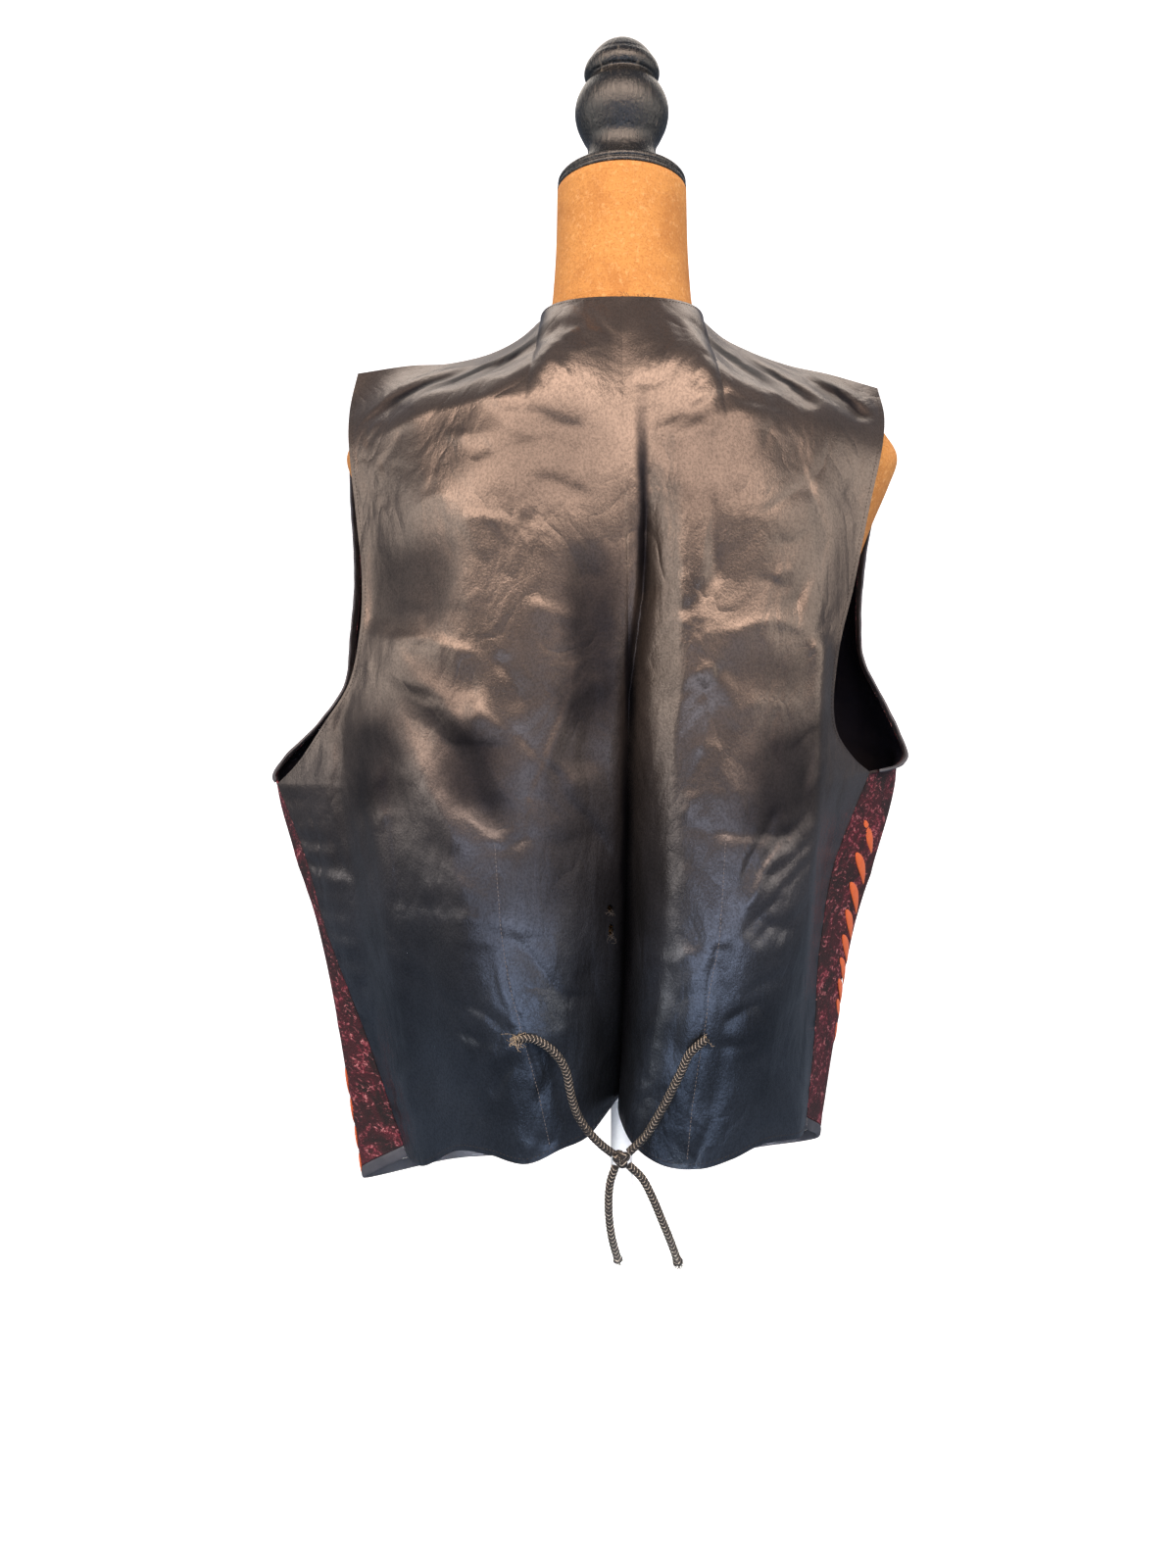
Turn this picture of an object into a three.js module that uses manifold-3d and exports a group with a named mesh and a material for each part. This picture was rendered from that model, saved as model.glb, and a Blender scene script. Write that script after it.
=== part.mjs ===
// A satin-backed waistcoat on a limbless dress form. Millimetres, +Z up, the back of the waistcoat faces -Y.
// The origin is the middle of the underside of the round base.
import * as THREE from 'three';
import { mergeVertices } from 'three/addons/utils/BufferGeometryUtils.js';
import Module from 'manifold-3d';

const wasm = await Module();
wasm.setup();

// Driving dimensions
const SEAM_GAP = 0.3;
const SATIN = 1.4;
const VELVET = 2.2;
const BINDING_THICKNESS = 2.8;
const BINDING_WIDTH = 8;
const HEM_BINDING_WIDTH = 10;
const BINDING_START = 0.012;
const ARMHOLE_BINDING_GAP = 0.6;
const AT_SEAM = 0.01;
const UNDERARM_V = 0.4;
const NECK_POINT_U = 0.3;
const BACK_STATIONS = [0, 0.24, 0.66, 1];
const FRONT_STATIONS = [0, 0.22, 0.52, 1];
const BACK_CELLS = { across: 18, up: 34 };
const FRONT_CELLS = { across: 13, up: 30 };
const LEFT = -1;
const RIGHT = 1;
const BUTTON = { count: 4, radius: 9, thickness: 4, x: -6, topZ: 935, pitch: 94 };
const CORD = { radius: 3, sides: 10, step: 13, knotRadius: 7.2, knotHeight: 12 };
const POLE = { radius: 9, bottomZ: 20.3 };
const BASE = { radius: 165, height: 20 };
const COLLAR = { radius: 26, height: 14 };
const DISC = { radius: 53, bottomZ: 1286, topZ: 1296.7 };

// A short table with named columns
function table(columns, rows) {
  const names = columns.split(' ');
  return rows.map((row) => Object.fromEntries(names.map((name, i) => [name, row[i]])));
}

// The dress form, from the top of the neck down: half width, depth to the back and to the front,
// and the power of its outline in plan (2 is an ellipse, less is pinched towards the shoulders)
const FORM = table('z half back front power', [
  [1285.7, 53, 53, 53, 2],
  [1240, 54, 54, 54, 2],
  [1208, 56, 56, 57, 2],
  [1190, 58, 58, 60, 2],
  [1177, 62.5, 60.5, 63, 1.8],
  [1165, 73, 61, 65.5, 1.45],
  [1153, 101, 63.5, 70, 1.2],
  [1143, 131, 66, 75, 1.08],
  [1132, 155, 70, 79, 1.13],
  [1117, 182, 74, 85, 1.22],
  [1100, 206, 79, 91, 1.4],
  [1085, 219, 83, 96, 1.65],
  [1066, 227, 86, 101, 1.95],
  [1042, 219, 88, 106, 2.1],
  [1005, 203, 90, 112, 2.2],
  [960, 187, 89, 116, 2.2],
  [900, 173, 84, 114, 2.2],
  [830, 156, 74, 106, 2.2],
  [770, 146, 64, 100, 2.2],
  [710, 146, 52, 98, 2.2],
  [665, 148, 44, 94, 2.2],
  [648, 140, 38, 86, 2.2],
  [640, 122, 30, 70, 2.2],
]);
const FORM_SIDES = 44;

// Back of the waistcoat: lines from hem (v = 0) to neck and shoulder (v = 1); out is the distance from
// the middle towards the panel's own side
const CENTRE_BACK = table('v x y z', [
  [0, -2, -42, 557],
  [0.12, -1, -56, 622],
  [0.27, 1, -69, 705],
  [0.4, 2, -86, 790],
  [0.53, 2, -100, 868],
  [0.66, 1, -108, 953],
  [0.8, -1, -105, 1048],
  [0.92, -2, -87, 1126],
  [1, -2, -68, 1173],
]);
const INNER_BACK = {
  [LEFT]: table('v out y z', [
    [0, 40, -100, 533],
    [0.12, 48, -110, 612],
    [0.27, 55, -115, 700],
    [0.4, 56, -118, 792],
    [0.53, 58, -121, 866],
    [0.66, 62, -122, 950],
    [0.8, 64, -117, 1044],
    [0.92, 60, -92, 1124],
    [1, 61, -20, 1179],
  ]),
  [RIGHT]: table('v out y z', [
    [0, 18, -109, 527],
    [0.12, 26, -114, 612],
    [0.27, 36, -117, 700],
    [0.4, 44, -119, 792],
    [0.53, 52, -121, 866],
    [0.66, 58, -122, 950],
    [0.8, 62, -117, 1042],
    [0.92, 60, -92, 1120],
    [1, 61, -20, 1179],
  ]),
};
const OUTER_BACK = {
  [LEFT]: table('v out y z', [
    [0, 112, -92, 525],
    [0.12, 125, -98, 606],
    [0.27, 150, -98, 696],
    [0.4, 168, -96, 798],
    [0.53, 158, -99, 856],
    [0.66, 148, -100, 940],
    [0.8, 146, -93, 1035],
    [0.92, 142, -62, 1106],
    [1, 135, 0, 1147],
  ]),
  [RIGHT]: table('v out y z', [
    [0, 95, -99, 530],
    [0.12, 108, -102, 612],
    [0.27, 122, -103, 700],
    [0.4, 132, -101, 797],
    [0.53, 132, -102, 862],
    [0.66, 132, -103, 946],
    [0.8, 134, -95, 1032],
    [0.92, 134, -63, 1100],
    [1, 130, 0, 1145],
  ]),
};

// Seams that the back and the front share
const SIDE_SEAM = {
  [LEFT]: table('v out y z', [
    [0, 175, -8, 496],
    [0.12, 206, -4, 585],
    [0.27, 246, 0, 690],
    [0.34, 262, 2, 745],
    [0.4, 284, 4, 800],
  ]),
  [RIGHT]: table('v out y z', [
    [0, 147, -20, 522],
    [0.12, 156, -10, 592],
    [0.27, 164, -2, 680],
    [0.34, 176, 2, 738],
    [0.4, 205, 5, 810],
  ]),
};
const SHOULDER_SEAM = {
  [LEFT]: table('t out y z', [
    [0, 66, -1, 1181],
    [0.1, 79, 0, 1169.5],
    [0.28, 104, 0, 1155.2],
    [0.5, 140, 1, 1146.2],
    [0.72, 174, 2, 1144.6],
    [1, 218, 4, 1139],
  ]),
  [RIGHT]: table('t out y z', [
    [0, 66, -1, 1181],
    [0.1, 79, 0, 1169.5],
    [0.28, 104, 0, 1156],
    [0.5, 137, 1, 1144.5],
    [0.72, 169, 1, 1137.5],
    [1, 211, 2, 1126],
  ]),
};
const NAPE = { x: -2, y: -68, z: 1173 };
const NECK_RISE = 8;

// Hem of the back, from the notch at the middle to the side seam
const BACK_HEM = {
  [LEFT]: table('u out y z', [
    [0, 2, -42, 557],
    [0.08, 14, -64, 547],
    [0.16, 27, -86, 537],
    [0.28, 48, -105, 532],
    [0.42, 72, -110, 523],
    [0.58, 102, -99, 526],
    [0.72, 126, -80, 523],
    [0.88, 158, -40, 499],
    [1, 175, -8, 496],
  ]),
  [RIGHT]: table('u out y z', [
    [0, -2, -42, 557],
    [0.1, -4, -74, 550],
    [0.2, 4, -98, 536],
    [0.32, 22, -111, 524],
    [0.48, 52, -113, 520],
    [0.62, 78, -106, 525],
    [0.76, 104, -88, 531],
    [0.9, 136, -52, 525],
    [1, 147, -20, 522],
  ]),
};

// Armholes, from the top of the side seam to the tip of the shoulder
const BACK_ARMHOLE = {
  [LEFT]: table('v out y z', [
    [0.4, 284, 4, 800],
    [0.46, 261, -16, 819],
    [0.51, 238, -36, 846],
    [0.57, 214, -52, 878],
    [0.63, 205, -56, 915],
    [0.7, 204, -50, 958],
    [0.78, 210, -42, 1010],
    [0.85, 215, -39, 1050],
    [0.91, 219, -29, 1082],
    [0.96, 221, -8, 1112],
    [1, 218, 4, 1139],
  ]),
  [RIGHT]: table('v out y z', [
    [0.4, 205, 5, 810],
    [0.44, 186, -24, 820],
    [0.48, 168, -52, 836],
    [0.53, 160, -68, 856],
    [0.6, 162, -74, 897],
    [0.7, 176, -66, 953],
    [0.8, 190, -58, 1015],
    [0.88, 203, -46, 1066],
    [0.93, 209, -28, 1092],
    [1, 211, 2, 1126],
  ]),
};
const FRONT_ARMHOLE = {
  [LEFT]: table('v out y z', [
    [0.4, 284, 4, 800],
    [0.43, 293, 20, 806],
    [0.47, 287, 37, 823],
    [0.52, 264, 52, 850],
    [0.57, 244, 60, 880],
    [0.66, 236, 62, 932],
    [0.73, 232, 60, 975],
    [0.8, 232, 54, 1012],
    [0.88, 232, 40, 1058],
    [0.94, 227, 20, 1100],
    [1, 218, 4, 1139],
  ]),
  [RIGHT]: table('v out y z', [
    [0.4, 205, 5, 810],
    [0.43, 228, 18, 813],
    [0.47, 244, 33, 822],
    [0.52, 242, 46, 842],
    [0.57, 231, 57, 872],
    [0.62, 216, 63, 903],
    [0.7, 212, 65, 945],
    [0.8, 216, 59, 1005],
    [0.89, 222, 38, 1062],
    [0.95, 218, 16, 1098],
    [1, 211, 2, 1126],
  ]),
};

// Fronts: the line where each rounds away at the side, the line down the chest, and the front edge
const SIDE_FRONT = {
  [LEFT]: table('v out y z', [
    [0, 217, 26, 467],
    [0.12, 231, 33, 548],
    [0.27, 252, 38, 672],
    [0.4, 288, 50, 803],
    [0.48, 268, 74, 834],
    [0.57, 230, 92, 882],
    [0.68, 218, 94, 945],
    [0.8, 214, 87, 1018],
    [0.9, 208, 60, 1084],
    [1, 185, 3, 1144],
  ]),
  [RIGHT]: table('v out y z', [
    [0, 172, 56, 492],
    [0.12, 184, 62, 562],
    [0.27, 205, 68, 672],
    [0.4, 242, 72, 806],
    [0.48, 232, 84, 840],
    [0.57, 214, 93, 882],
    [0.68, 202, 95, 945],
    [0.8, 200, 87, 1012],
    [0.9, 198, 60, 1078],
    [1, 178, 2, 1135],
  ]),
};
const CHEST_FRONT = {
  [LEFT]: table('v out y z', [
    [0, 158, 94, 460],
    [0.12, 166, 108, 545],
    [0.27, 176, 116, 668],
    [0.4, 190, 122, 800],
    [0.53, 174, 129, 868],
    [0.68, 150, 129, 960],
    [0.8, 138, 119, 1036],
    [0.9, 130, 90, 1098],
    [1, 128, 1, 1148],
  ]),
  [RIGHT]: table('v out y z', [
    [0, 128, 100, 470],
    [0.12, 136, 110, 552],
    [0.27, 148, 118, 672],
    [0.4, 166, 123, 802],
    [0.53, 160, 129, 868],
    [0.68, 148, 128, 955],
    [0.8, 136, 119, 1030],
    [0.9, 130, 90, 1092],
    [1, 126, 1, 1147],
  ]),
};
const FRONT_EDGE = table('v out y z', [
  [0, 78, 125, 456],
  [0.08, 34, 134, 530],
  [0.16, -4, 138, 606],
  [0.22, -12, 139, 650],
  [0.45, -12, 141, 820],
  [0.6, -12, 140, 925],
  [0.69, -8, 136, 980],
  [0.8, 26, 118, 1056],
  [0.9, 53, 82, 1124],
  [0.95, 63, 51, 1158],
  [1, 66, -1, 1181],
]);
const UNDERLAP = 5;

// The largest folds, as soft troughs (depth above 0) and ridges, each along a line seen from the back
const FOLDS = table('side x1 z1 x2 z2 width depth', [
  [LEFT, -196, 892, -148, 852, 7, 9],
  [LEFT, -148, 852, -98, 785, 11, 12],
  [LEFT, -98, 785, -82, 735, 14, 7],
  [LEFT, -172, 884, -112, 836, 12, -5],
  [LEFT, -176, 846, -118, 770, 12, -5],
  [LEFT, -212, 1096, -150, 1130, 6, 5],
  [LEFT, -168, 1098, -108, 1128, 7, 5],
  [LEFT, -122, 1100, -80, 1134, 8, 5],
  [LEFT, -222, 860, -205, 640, 9, 5],
  [LEFT, -190, 800, -170, 560, 16, -5],
  [RIGHT, 14, 1070, 17, 946, 8, 13],
  [RIGHT, 17, 946, 9, 866, 8, 14],
  [RIGHT, 9, 866, 4, 740, 8, 8],
  [RIGHT, 40, 1060, 46, 880, 16, -5],
  [RIGHT, 70, 1148, 116, 1106, 8, 5],
  [RIGHT, 124, 1126, 158, 1100, 6, 5],
  [RIGHT, 140, 1120, 190, 1084, 7, 5],
  [RIGHT, 146, 900, 142, 640, 9, -5],
]);

// Two small rips in the left back, beside the middle
const RIPS = table('x z halfWidth halfHeight', [
  [-11.5, 706, 2.6, 3.4],
  [-10.5, 689.5, 2.5, 5.6],
]);

// Cords: hand-set points from the dart seam to the knot, and from the knot to each free end
const KNOT = { x: -3.9, y: -126, z: 531.5 };
const CORD_ROUTES = {
  cord_left: table('x y z', [
    [-79, -124.8, 616.5],
    [-67, -125, 617],
    [-56, -125.2, 611],
    [-48, -125, 602.5],
    [-43.3, -125, 593],
    [-41, -125, 582],
    [-38.4, -125, 571],
    [-34.1, -125.2, 560.5],
    [-27.8, -125.5, 551.3],
    [-19.5, -125.8, 542.5],
    [-10, -126, 535],
  ]),
  cord_right: table('x y z', [
    [57, -127.7, 618],
    [45, -127.4, 607],
    [38, -127, 592.5],
    [30.6, -126.8, 577.6],
    [22.2, -126.4, 562],
    [13.4, -126.1, 548],
    [1.5, -126, 536],
  ]),
  cord_tail_left: table('x y z', [
    [-8.2, -126, 526],
    [-12, -126, 514],
    [-13, -126, 495.3],
    [-10.9, -126, 476.2],
    [-6, -126, 458],
  ]),
  cord_tail_right: table('x y z', [
    [1.4, -126, 527],
    [11, -126, 517.4],
    [18, -126, 504.4],
    [25.7, -126, 486.1],
    [32, -126, 470.6],
    [37, -126, 456.5],
  ]),
};

// Turned black finial, radius against height
const FINIAL = table('r z', [
  [0, 1297],
  [34, 1297],
  [35, 1301],
  [31, 1308],
  [28, 1318],
  [28.5, 1324],
  [33, 1333],
  [37, 1342],
  [38.5, 1350.5],
  [37.5, 1359],
  [33.5, 1368],
  [28, 1375],
  [27, 1378],
  [29.8, 1380],
  [31, 1383.5],
  [30, 1389],
  [27, 1394],
  [25.6, 1396],
  [26, 1398],
  [22, 1403.5],
  [14, 1409],
  [0, 1412.5],
]);

// Curves and surfaces

// Smooth curve through the rows of a table: the value of one column at a place in another
function along(rows, at, place, column) {
  const last = rows.length - 1;
  let i = 0;
  while (i < last - 1 && place > rows[i + 1][at]) i += 1;
  const slope = (a, b) => (rows[b][column] - rows[a][column]) / (rows[b][at] - rows[a][at]);
  const tangent = (k) => {
    if (k === 0) return slope(0, 1);
    if (k === last) return slope(last - 1, last);
    const before = rows[k][at] - rows[k - 1][at];
    const after = rows[k + 1][at] - rows[k][at];
    return (slope(k - 1, k) * after + slope(k, k + 1) * before) / (before + after);
  };
  const span = rows[i + 1][at] - rows[i][at];
  const t = (place - rows[i][at]) / span;
  const t2 = t * t;
  const t3 = t2 * t;
  return (2 * t3 - 3 * t2 + 1) * rows[i][column] + (t3 - 2 * t2 + t) * span * tangent(i)
    + (3 * t2 - 2 * t3) * rows[i + 1][column] + (t3 - t2) * span * tangent(i + 1);
}

function sidePoint(rows, at, place, side) {
  const out = along(rows, at, place, 'out');
  return new THREE.Vector3(side * out, along(rows, at, place, 'y'), along(rows, at, place, 'z'));
}

function smoothStep(low, high, value) {
  const t = Math.min(1, Math.max(0, (value - low) / (high - low)));
  return t * t * (3 - 2 * t);
}

// Side seam below the underarm point and armhole above it
function sideLine(armhole, side, v) {
  if (v <= UNDERARM_V) return sidePoint(SIDE_SEAM[side], 'v', v, side);
  return sidePoint(armhole[side], 'v', v, side);
}

// Row of points at chosen stations, joined by a smooth curve
function across(stations, points, u) {
  const rows = stations.map((place, i) => ({ place, x: points[i].x, y: points[i].y, z: points[i].z }));
  return new THREE.Vector3(...['x', 'y', 'z'].map((axis) => along(rows, 'place', u, axis)));
}

function neckline(side, t) {
  const turn = t * Math.PI / 2;
  const end = SHOULDER_SEAM[side][0];
  return new THREE.Vector3(
    NAPE.x * (1 - t) + side * end.out * Math.sin(turn),
    NAPE.y * Math.cos(turn) + end.y * Math.sin(turn),
    NAPE.z + NECK_RISE * Math.sin(turn) ** 2,
  );
}

function backTop(side, u) {
  if (u <= NECK_POINT_U) return neckline(side, u / NECK_POINT_U);
  return sidePoint(SHOULDER_SEAM[side], 't', (u - NECK_POINT_U) / (1 - NECK_POINT_U), side);
}

function backRow(side, u, v) {
  const centre = new THREE.Vector3(...['x', 'y', 'z'].map((axis) => along(CENTRE_BACK, 'v', v, axis)));
  const inner = sidePoint(INNER_BACK[side], 'v', v, side);
  const outer = sidePoint(OUTER_BACK[side], 'v', v, side);
  return across(BACK_STATIONS, [centre, inner, outer, sideLine(BACK_ARMHOLE, side, v)], u);
}

// Height of a fold at a point, as seen from the back
function foldDepth(side, x, z, edgeFade) {
  let depth = 0;
  for (const fold of FOLDS) {
    if (fold.side !== side) continue;
    const dx = fold.x2 - fold.x1;
    const dz = fold.z2 - fold.z1;
    const t = ((x - fold.x1) * dx + (z - fold.z1) * dz) / (dx * dx + dz * dz);
    const near = Math.min(1, Math.max(0, t));
    const far = Math.hypot(x - fold.x1 - near * dx, z - fold.z1 - near * dz) / fold.width;
    depth += fold.depth * Math.exp(-far * far);
  }
  return depth * edgeFade;
}

function backSurface(side) {
  return (u, v) => {
    const point = backRow(side, u, v);
    const top = smoothStep(0.8, 1, v);
    const hem = 1 - smoothStep(0, 0.18, v);
    if (top > 0) point.addScaledVector(backTop(side, u).sub(backRow(side, u, 1)), top);
    if (hem > 0) point.addScaledVector(sidePoint(BACK_HEM[side], 'u', u, side).sub(backRow(side, u, 0)), hem);
    const fade = smoothStep(0, 0.05, u) * (1 - smoothStep(0.93, 1, u)) * (1 - smoothStep(0.95, 1, v));
    point.y += foldDepth(side, point.x, point.z, fade);
    return point;
  };
}

function frontRow(side, u, v) {
  const edge = sidePoint(FRONT_EDGE, 'v', v, side);
  if (side === RIGHT) edge.y -= UNDERLAP * (1 - smoothStep(0.72, 0.86, v));
  const row = [sideLine(FRONT_ARMHOLE, side, v), sidePoint(SIDE_FRONT[side], 'v', v, side),
    sidePoint(CHEST_FRONT[side], 'v', v, side), edge];
  return across(FRONT_STATIONS, row, u);
}

function frontSurface(side) {
  return (u, v) => {
    const point = frontRow(side, u, v);
    const top = smoothStep(0.8, 1, v);
    const seam = sidePoint(SHOULDER_SEAM[side], 't', 1 - u, side);
    if (top > 0) point.addScaledVector(seam.sub(frontRow(side, u, 1)), top);
    return point;
  };
}

const NUDGE = 1e-3;

function steps(surface, u, v) {
  const u0 = Math.max(0, u - NUDGE);
  const u1 = Math.min(1, u + NUDGE);
  const v0 = Math.max(0, v - NUDGE);
  const v1 = Math.min(1, v + NUDGE);
  const alongU = surface(u1, v).sub(surface(u0, v)).divideScalar(u1 - u0);
  const alongV = surface(u, v1).sub(surface(u, v0)).divideScalar(v1 - v0);
  return { alongU, alongV };
}

function normalOf(surface, side, u, v) {
  const { alongU, alongV } = steps(surface, u, v);
  return alongU.cross(alongV).multiplyScalar(side).normalize();
}

// Wall of cloth on a surface: domain gives u and v from 0..1 across and up the piece
function wall({ surface, domain, cells, thickness, normal }) {
  const columns = cells.across + 1;
  const layer = columns * (cells.up + 1);
  const positions = new Float32Array(layer * 6);
  for (let j = 0; j <= cells.up; j += 1) {
    for (let i = 0; i <= cells.across; i += 1) {
      const [u, v] = domain(i / cells.across, j / cells.up);
      const point = surface(u, v);
      const out = normal(u, v).multiplyScalar(thickness / 2);
      const index = j * columns + i;
      point.clone().add(out).toArray(positions, index * 3);
      point.clone().sub(out).toArray(positions, (layer + index) * 3);
    }
  }
  const faces = [];
  const quad = (a, b, c, d) => faces.push(a, b, c, a, c, d);
  const at = (i, j) => j * columns + i;
  for (let j = 0; j < cells.up; j += 1) {
    for (let i = 0; i < cells.across; i += 1) {
      quad(at(i, j), at(i + 1, j), at(i + 1, j + 1), at(i, j + 1));
      quad(layer + at(i, j), layer + at(i, j + 1), layer + at(i + 1, j + 1), layer + at(i + 1, j));
    }
  }
  for (let i = 0; i < cells.across; i += 1) {
    quad(at(i, 0), layer + at(i, 0), layer + at(i + 1, 0), at(i + 1, 0));
    quad(at(i, cells.up), at(i + 1, cells.up), layer + at(i + 1, cells.up), layer + at(i, cells.up));
  }
  for (let j = 0; j < cells.up; j += 1) {
    quad(at(0, j), at(0, j + 1), layer + at(0, j + 1), layer + at(0, j));
    quad(at(columns - 1, j), layer + at(columns - 1, j), layer + at(columns - 1, j + 1), at(columns - 1, j + 1));
  }
  return closedGeometry(positions, faces);
}

function closedGeometry(positions, faces) {
  let volume = 0;
  const corner = (k) => new THREE.Vector3().fromArray(positions, faces[k] * 3);
  for (let k = 0; k < faces.length; k += 3) volume += corner(k).dot(corner(k + 1).cross(corner(k + 2)));
  if (volume < 0) faces.reverse();
  const geometry = new THREE.BufferGeometry();
  geometry.setAttribute('position', new THREE.BufferAttribute(positions, 3));
  geometry.setIndex(faces);
  return geometry;
}

// Solids joined and cut
function toSolid(geometry) {
  const bare = geometry.clone();
  bare.deleteAttribute('normal');
  bare.deleteAttribute('uv');
  const merged = mergeVertices(bare, 1e-4);
  return new wasm.Manifold(new wasm.Mesh({
    numProp: 3,
    vertProperties: new Float32Array(merged.attributes.position.array),
    triVerts: new Uint32Array(merged.index.array),
  }));
}

function toGeometry(solid) {
  const mesh = solid.getMesh();
  const geometry = new THREE.BufferGeometry();
  geometry.setAttribute('position', new THREE.BufferAttribute(new Float32Array(mesh.vertProperties), 3));
  geometry.setIndex(new THREE.BufferAttribute(new Uint32Array(mesh.triVerts), 1));
  return geometry;
}

// Materials
const satin = new THREE.MeshStandardMaterial({ color: 0x2c2a2c, roughness: 0.35, metalness: 0 });
const velvet = new THREE.MeshStandardMaterial({ color: 0x4a0a1c, roughness: 0.8, metalness: 0 });
const bindingSatin = new THREE.MeshStandardMaterial({ color: 0x3a3a40, roughness: 0.45, metalness: 0 });
const braid = new THREE.MeshStandardMaterial({ color: 0x1c1c20, roughness: 0.7, metalness: 0 });
const suede = new THREE.MeshStandardMaterial({ color: 0xb5713b, roughness: 0.95, metalness: 0 });
const blackWood = new THREE.MeshStandardMaterial({ color: 0x141312, roughness: 0.4, metalness: 0 });
const steel = new THREE.MeshStandardMaterial({ color: 0xb9bbbd, roughness: 0.35, metalness: 1 });
const horn = new THREE.MeshStandardMaterial({ color: 0x151515, roughness: 0.35, metalness: 0 });

const waistcoat = new THREE.Group();

function add(name, geometry, material) {
  const mesh = new THREE.Mesh(geometry, material);
  mesh.name = name;
  waistcoat.add(mesh);
  return mesh;
}

// Panels
const SIDES = [{ side: LEFT, word: 'left' }, { side: RIGHT, word: 'right' }];
const backs = { [LEFT]: backSurface(LEFT), [RIGHT]: backSurface(RIGHT) };
const fronts = { [LEFT]: frontSurface(LEFT), [RIGHT]: frontSurface(RIGHT) };

// Share of u or v that takes up a length in millimetres at a place on a surface
function shareOfU(surface, u, v, length) {
  return length / steps(surface, u, v).alongU.length();
}

function shareOfV(surface, u, v, length) {
  return length / steps(surface, u, v).alongV.length();
}

function sum(a, b) {
  return a.add(b).normalize();
}

// Direction of a wall's thickness: square to the cloth, and shared with the next panel along a seam
function backNormal(side) {
  const own = (u, v) => normalOf(backs[side], side, u, v);
  return (u, v) => {
    if (u < AT_SEAM) return sum(own(0, v), normalOf(backs[-side], -side, 0, v));
    if (v > 1 - AT_SEAM && u > NECK_POINT_U) {
      return sum(own(u, 1), normalOf(fronts[side], side, 1 - (u - NECK_POINT_U) / (1 - NECK_POINT_U), 1));
    }
    if (u > 1 - AT_SEAM && v <= UNDERARM_V) return sum(own(1, v), normalOf(fronts[side], side, 0, v));
    return own(u, v);
  };
}

function frontNormal(side) {
  const own = (u, v) => normalOf(fronts[side], side, u, v);
  return (u, v) => {
    if (v > 1 - AT_SEAM) {
      return sum(own(u, 1), normalOf(backs[side], side, NECK_POINT_U + (1 - u) * (1 - NECK_POINT_U), 1));
    }
    if (u < AT_SEAM && v <= UNDERARM_V) return sum(own(0, v), normalOf(backs[side], side, 1, v));
    return own(u, v);
  };
}

function backPanel(side) {
  const surface = backs[side];
  const normal = backNormal(side);
  const domain = (s, t) => {
    const v = t * (1 - shareOfV(surface, s, 1, SEAM_GAP / 2));
    const low = shareOfU(surface, 0, v, SEAM_GAP / 2);
    const high = 1 - shareOfU(surface, 1, v, SEAM_GAP / 2);
    return [low + s * (high - low), v];
  };
  return wall({ surface, domain, cells: BACK_CELLS, thickness: SATIN, normal });
}

// Where the velvet starts at the side: at the seam, and past the binding on the armhole
function velvetStart(side, v) {
  const surface = fronts[side];
  const bound = smoothStep(UNDERARM_V, UNDERARM_V + 0.02, v);
  return shareOfU(surface, 0, v, SEAM_GAP / 2 + bound * BINDING_WIDTH);
}

// Cloth of a front between its bindings
function velvetDomain(side) {
  const surface = fronts[side];
  return (s, t) => {
    const bottom = shareOfV(surface, s, 0, HEM_BINDING_WIDTH);
    const top = 1 - shareOfV(surface, s, 1, SEAM_GAP / 2);
    const v = bottom + t * (top - bottom);
    const low = velvetStart(side, v);
    const high = 1 - shareOfU(surface, 1, v, BINDING_WIDTH);
    return [low + s * (high - low), v];
  };
}

function frontPanel(side) {
  const cut = { surface: fronts[side], domain: velvetDomain(side), normal: frontNormal(side) };
  return wall({ ...cut, cells: FRONT_CELLS, thickness: VELVET });
}

// Bindings follow the rows and columns of the velvet that they edge
function binding(side, domain, cells) {
  const cut = { surface: fronts[side], domain, normal: frontNormal(side) };
  return wall({ ...cut, cells, thickness: BINDING_THICKNESS });
}

function armholeBinding(side) {
  const cloth = velvetDomain(side);
  let first = 0;
  while (cloth(0, first / FRONT_CELLS.up)[1] < UNDERARM_V + BINDING_START) first += 1;
  const rows = FRONT_CELLS.up - first;
  return binding(side, (s, t) => {
    const [edge, v] = cloth(0, (first + t * rows) / FRONT_CELLS.up);
    return [s * (edge - shareOfU(fronts[side], 0, v, ARMHOLE_BINDING_GAP)), v];
  }, { across: 1, up: rows });
}

function edgeBinding(side) {
  const cloth = velvetDomain(side);
  const rows = FRONT_CELLS.up + 1;
  return binding(side, (s, t) => {
    const row = Math.round(t * rows) - 1;
    const v = cloth(1, Math.max(0, row) / FRONT_CELLS.up)[1];
    return [1 - (1 - s) * shareOfU(fronts[side], 1, v, BINDING_WIDTH - SEAM_GAP), row < 0 ? 0 : v];
  }, { across: 1, up: rows });
}

function hemBinding(side) {
  const cloth = velvetDomain(side);
  return binding(side, (s, t) => {
    const [u, edge] = cloth(s, 0);
    return [u, t * (edge - shareOfV(fronts[side], u, 0, SEAM_GAP))];
  }, { across: FRONT_CELLS.across, up: 1 });
}

// A rip is cut right through the satin
function ripped(geometry) {
  let solid = toSolid(geometry);
  for (const rip of RIPS) {
    const cutter = new THREE.CylinderGeometry(1, 1, 80, 8);
    cutter.scale(rip.halfWidth, 1, rip.halfHeight);
    cutter.translate(rip.x, -80, rip.z);
    solid = solid.subtract(toSolid(cutter));
  }
  return toGeometry(solid);
}

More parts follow.
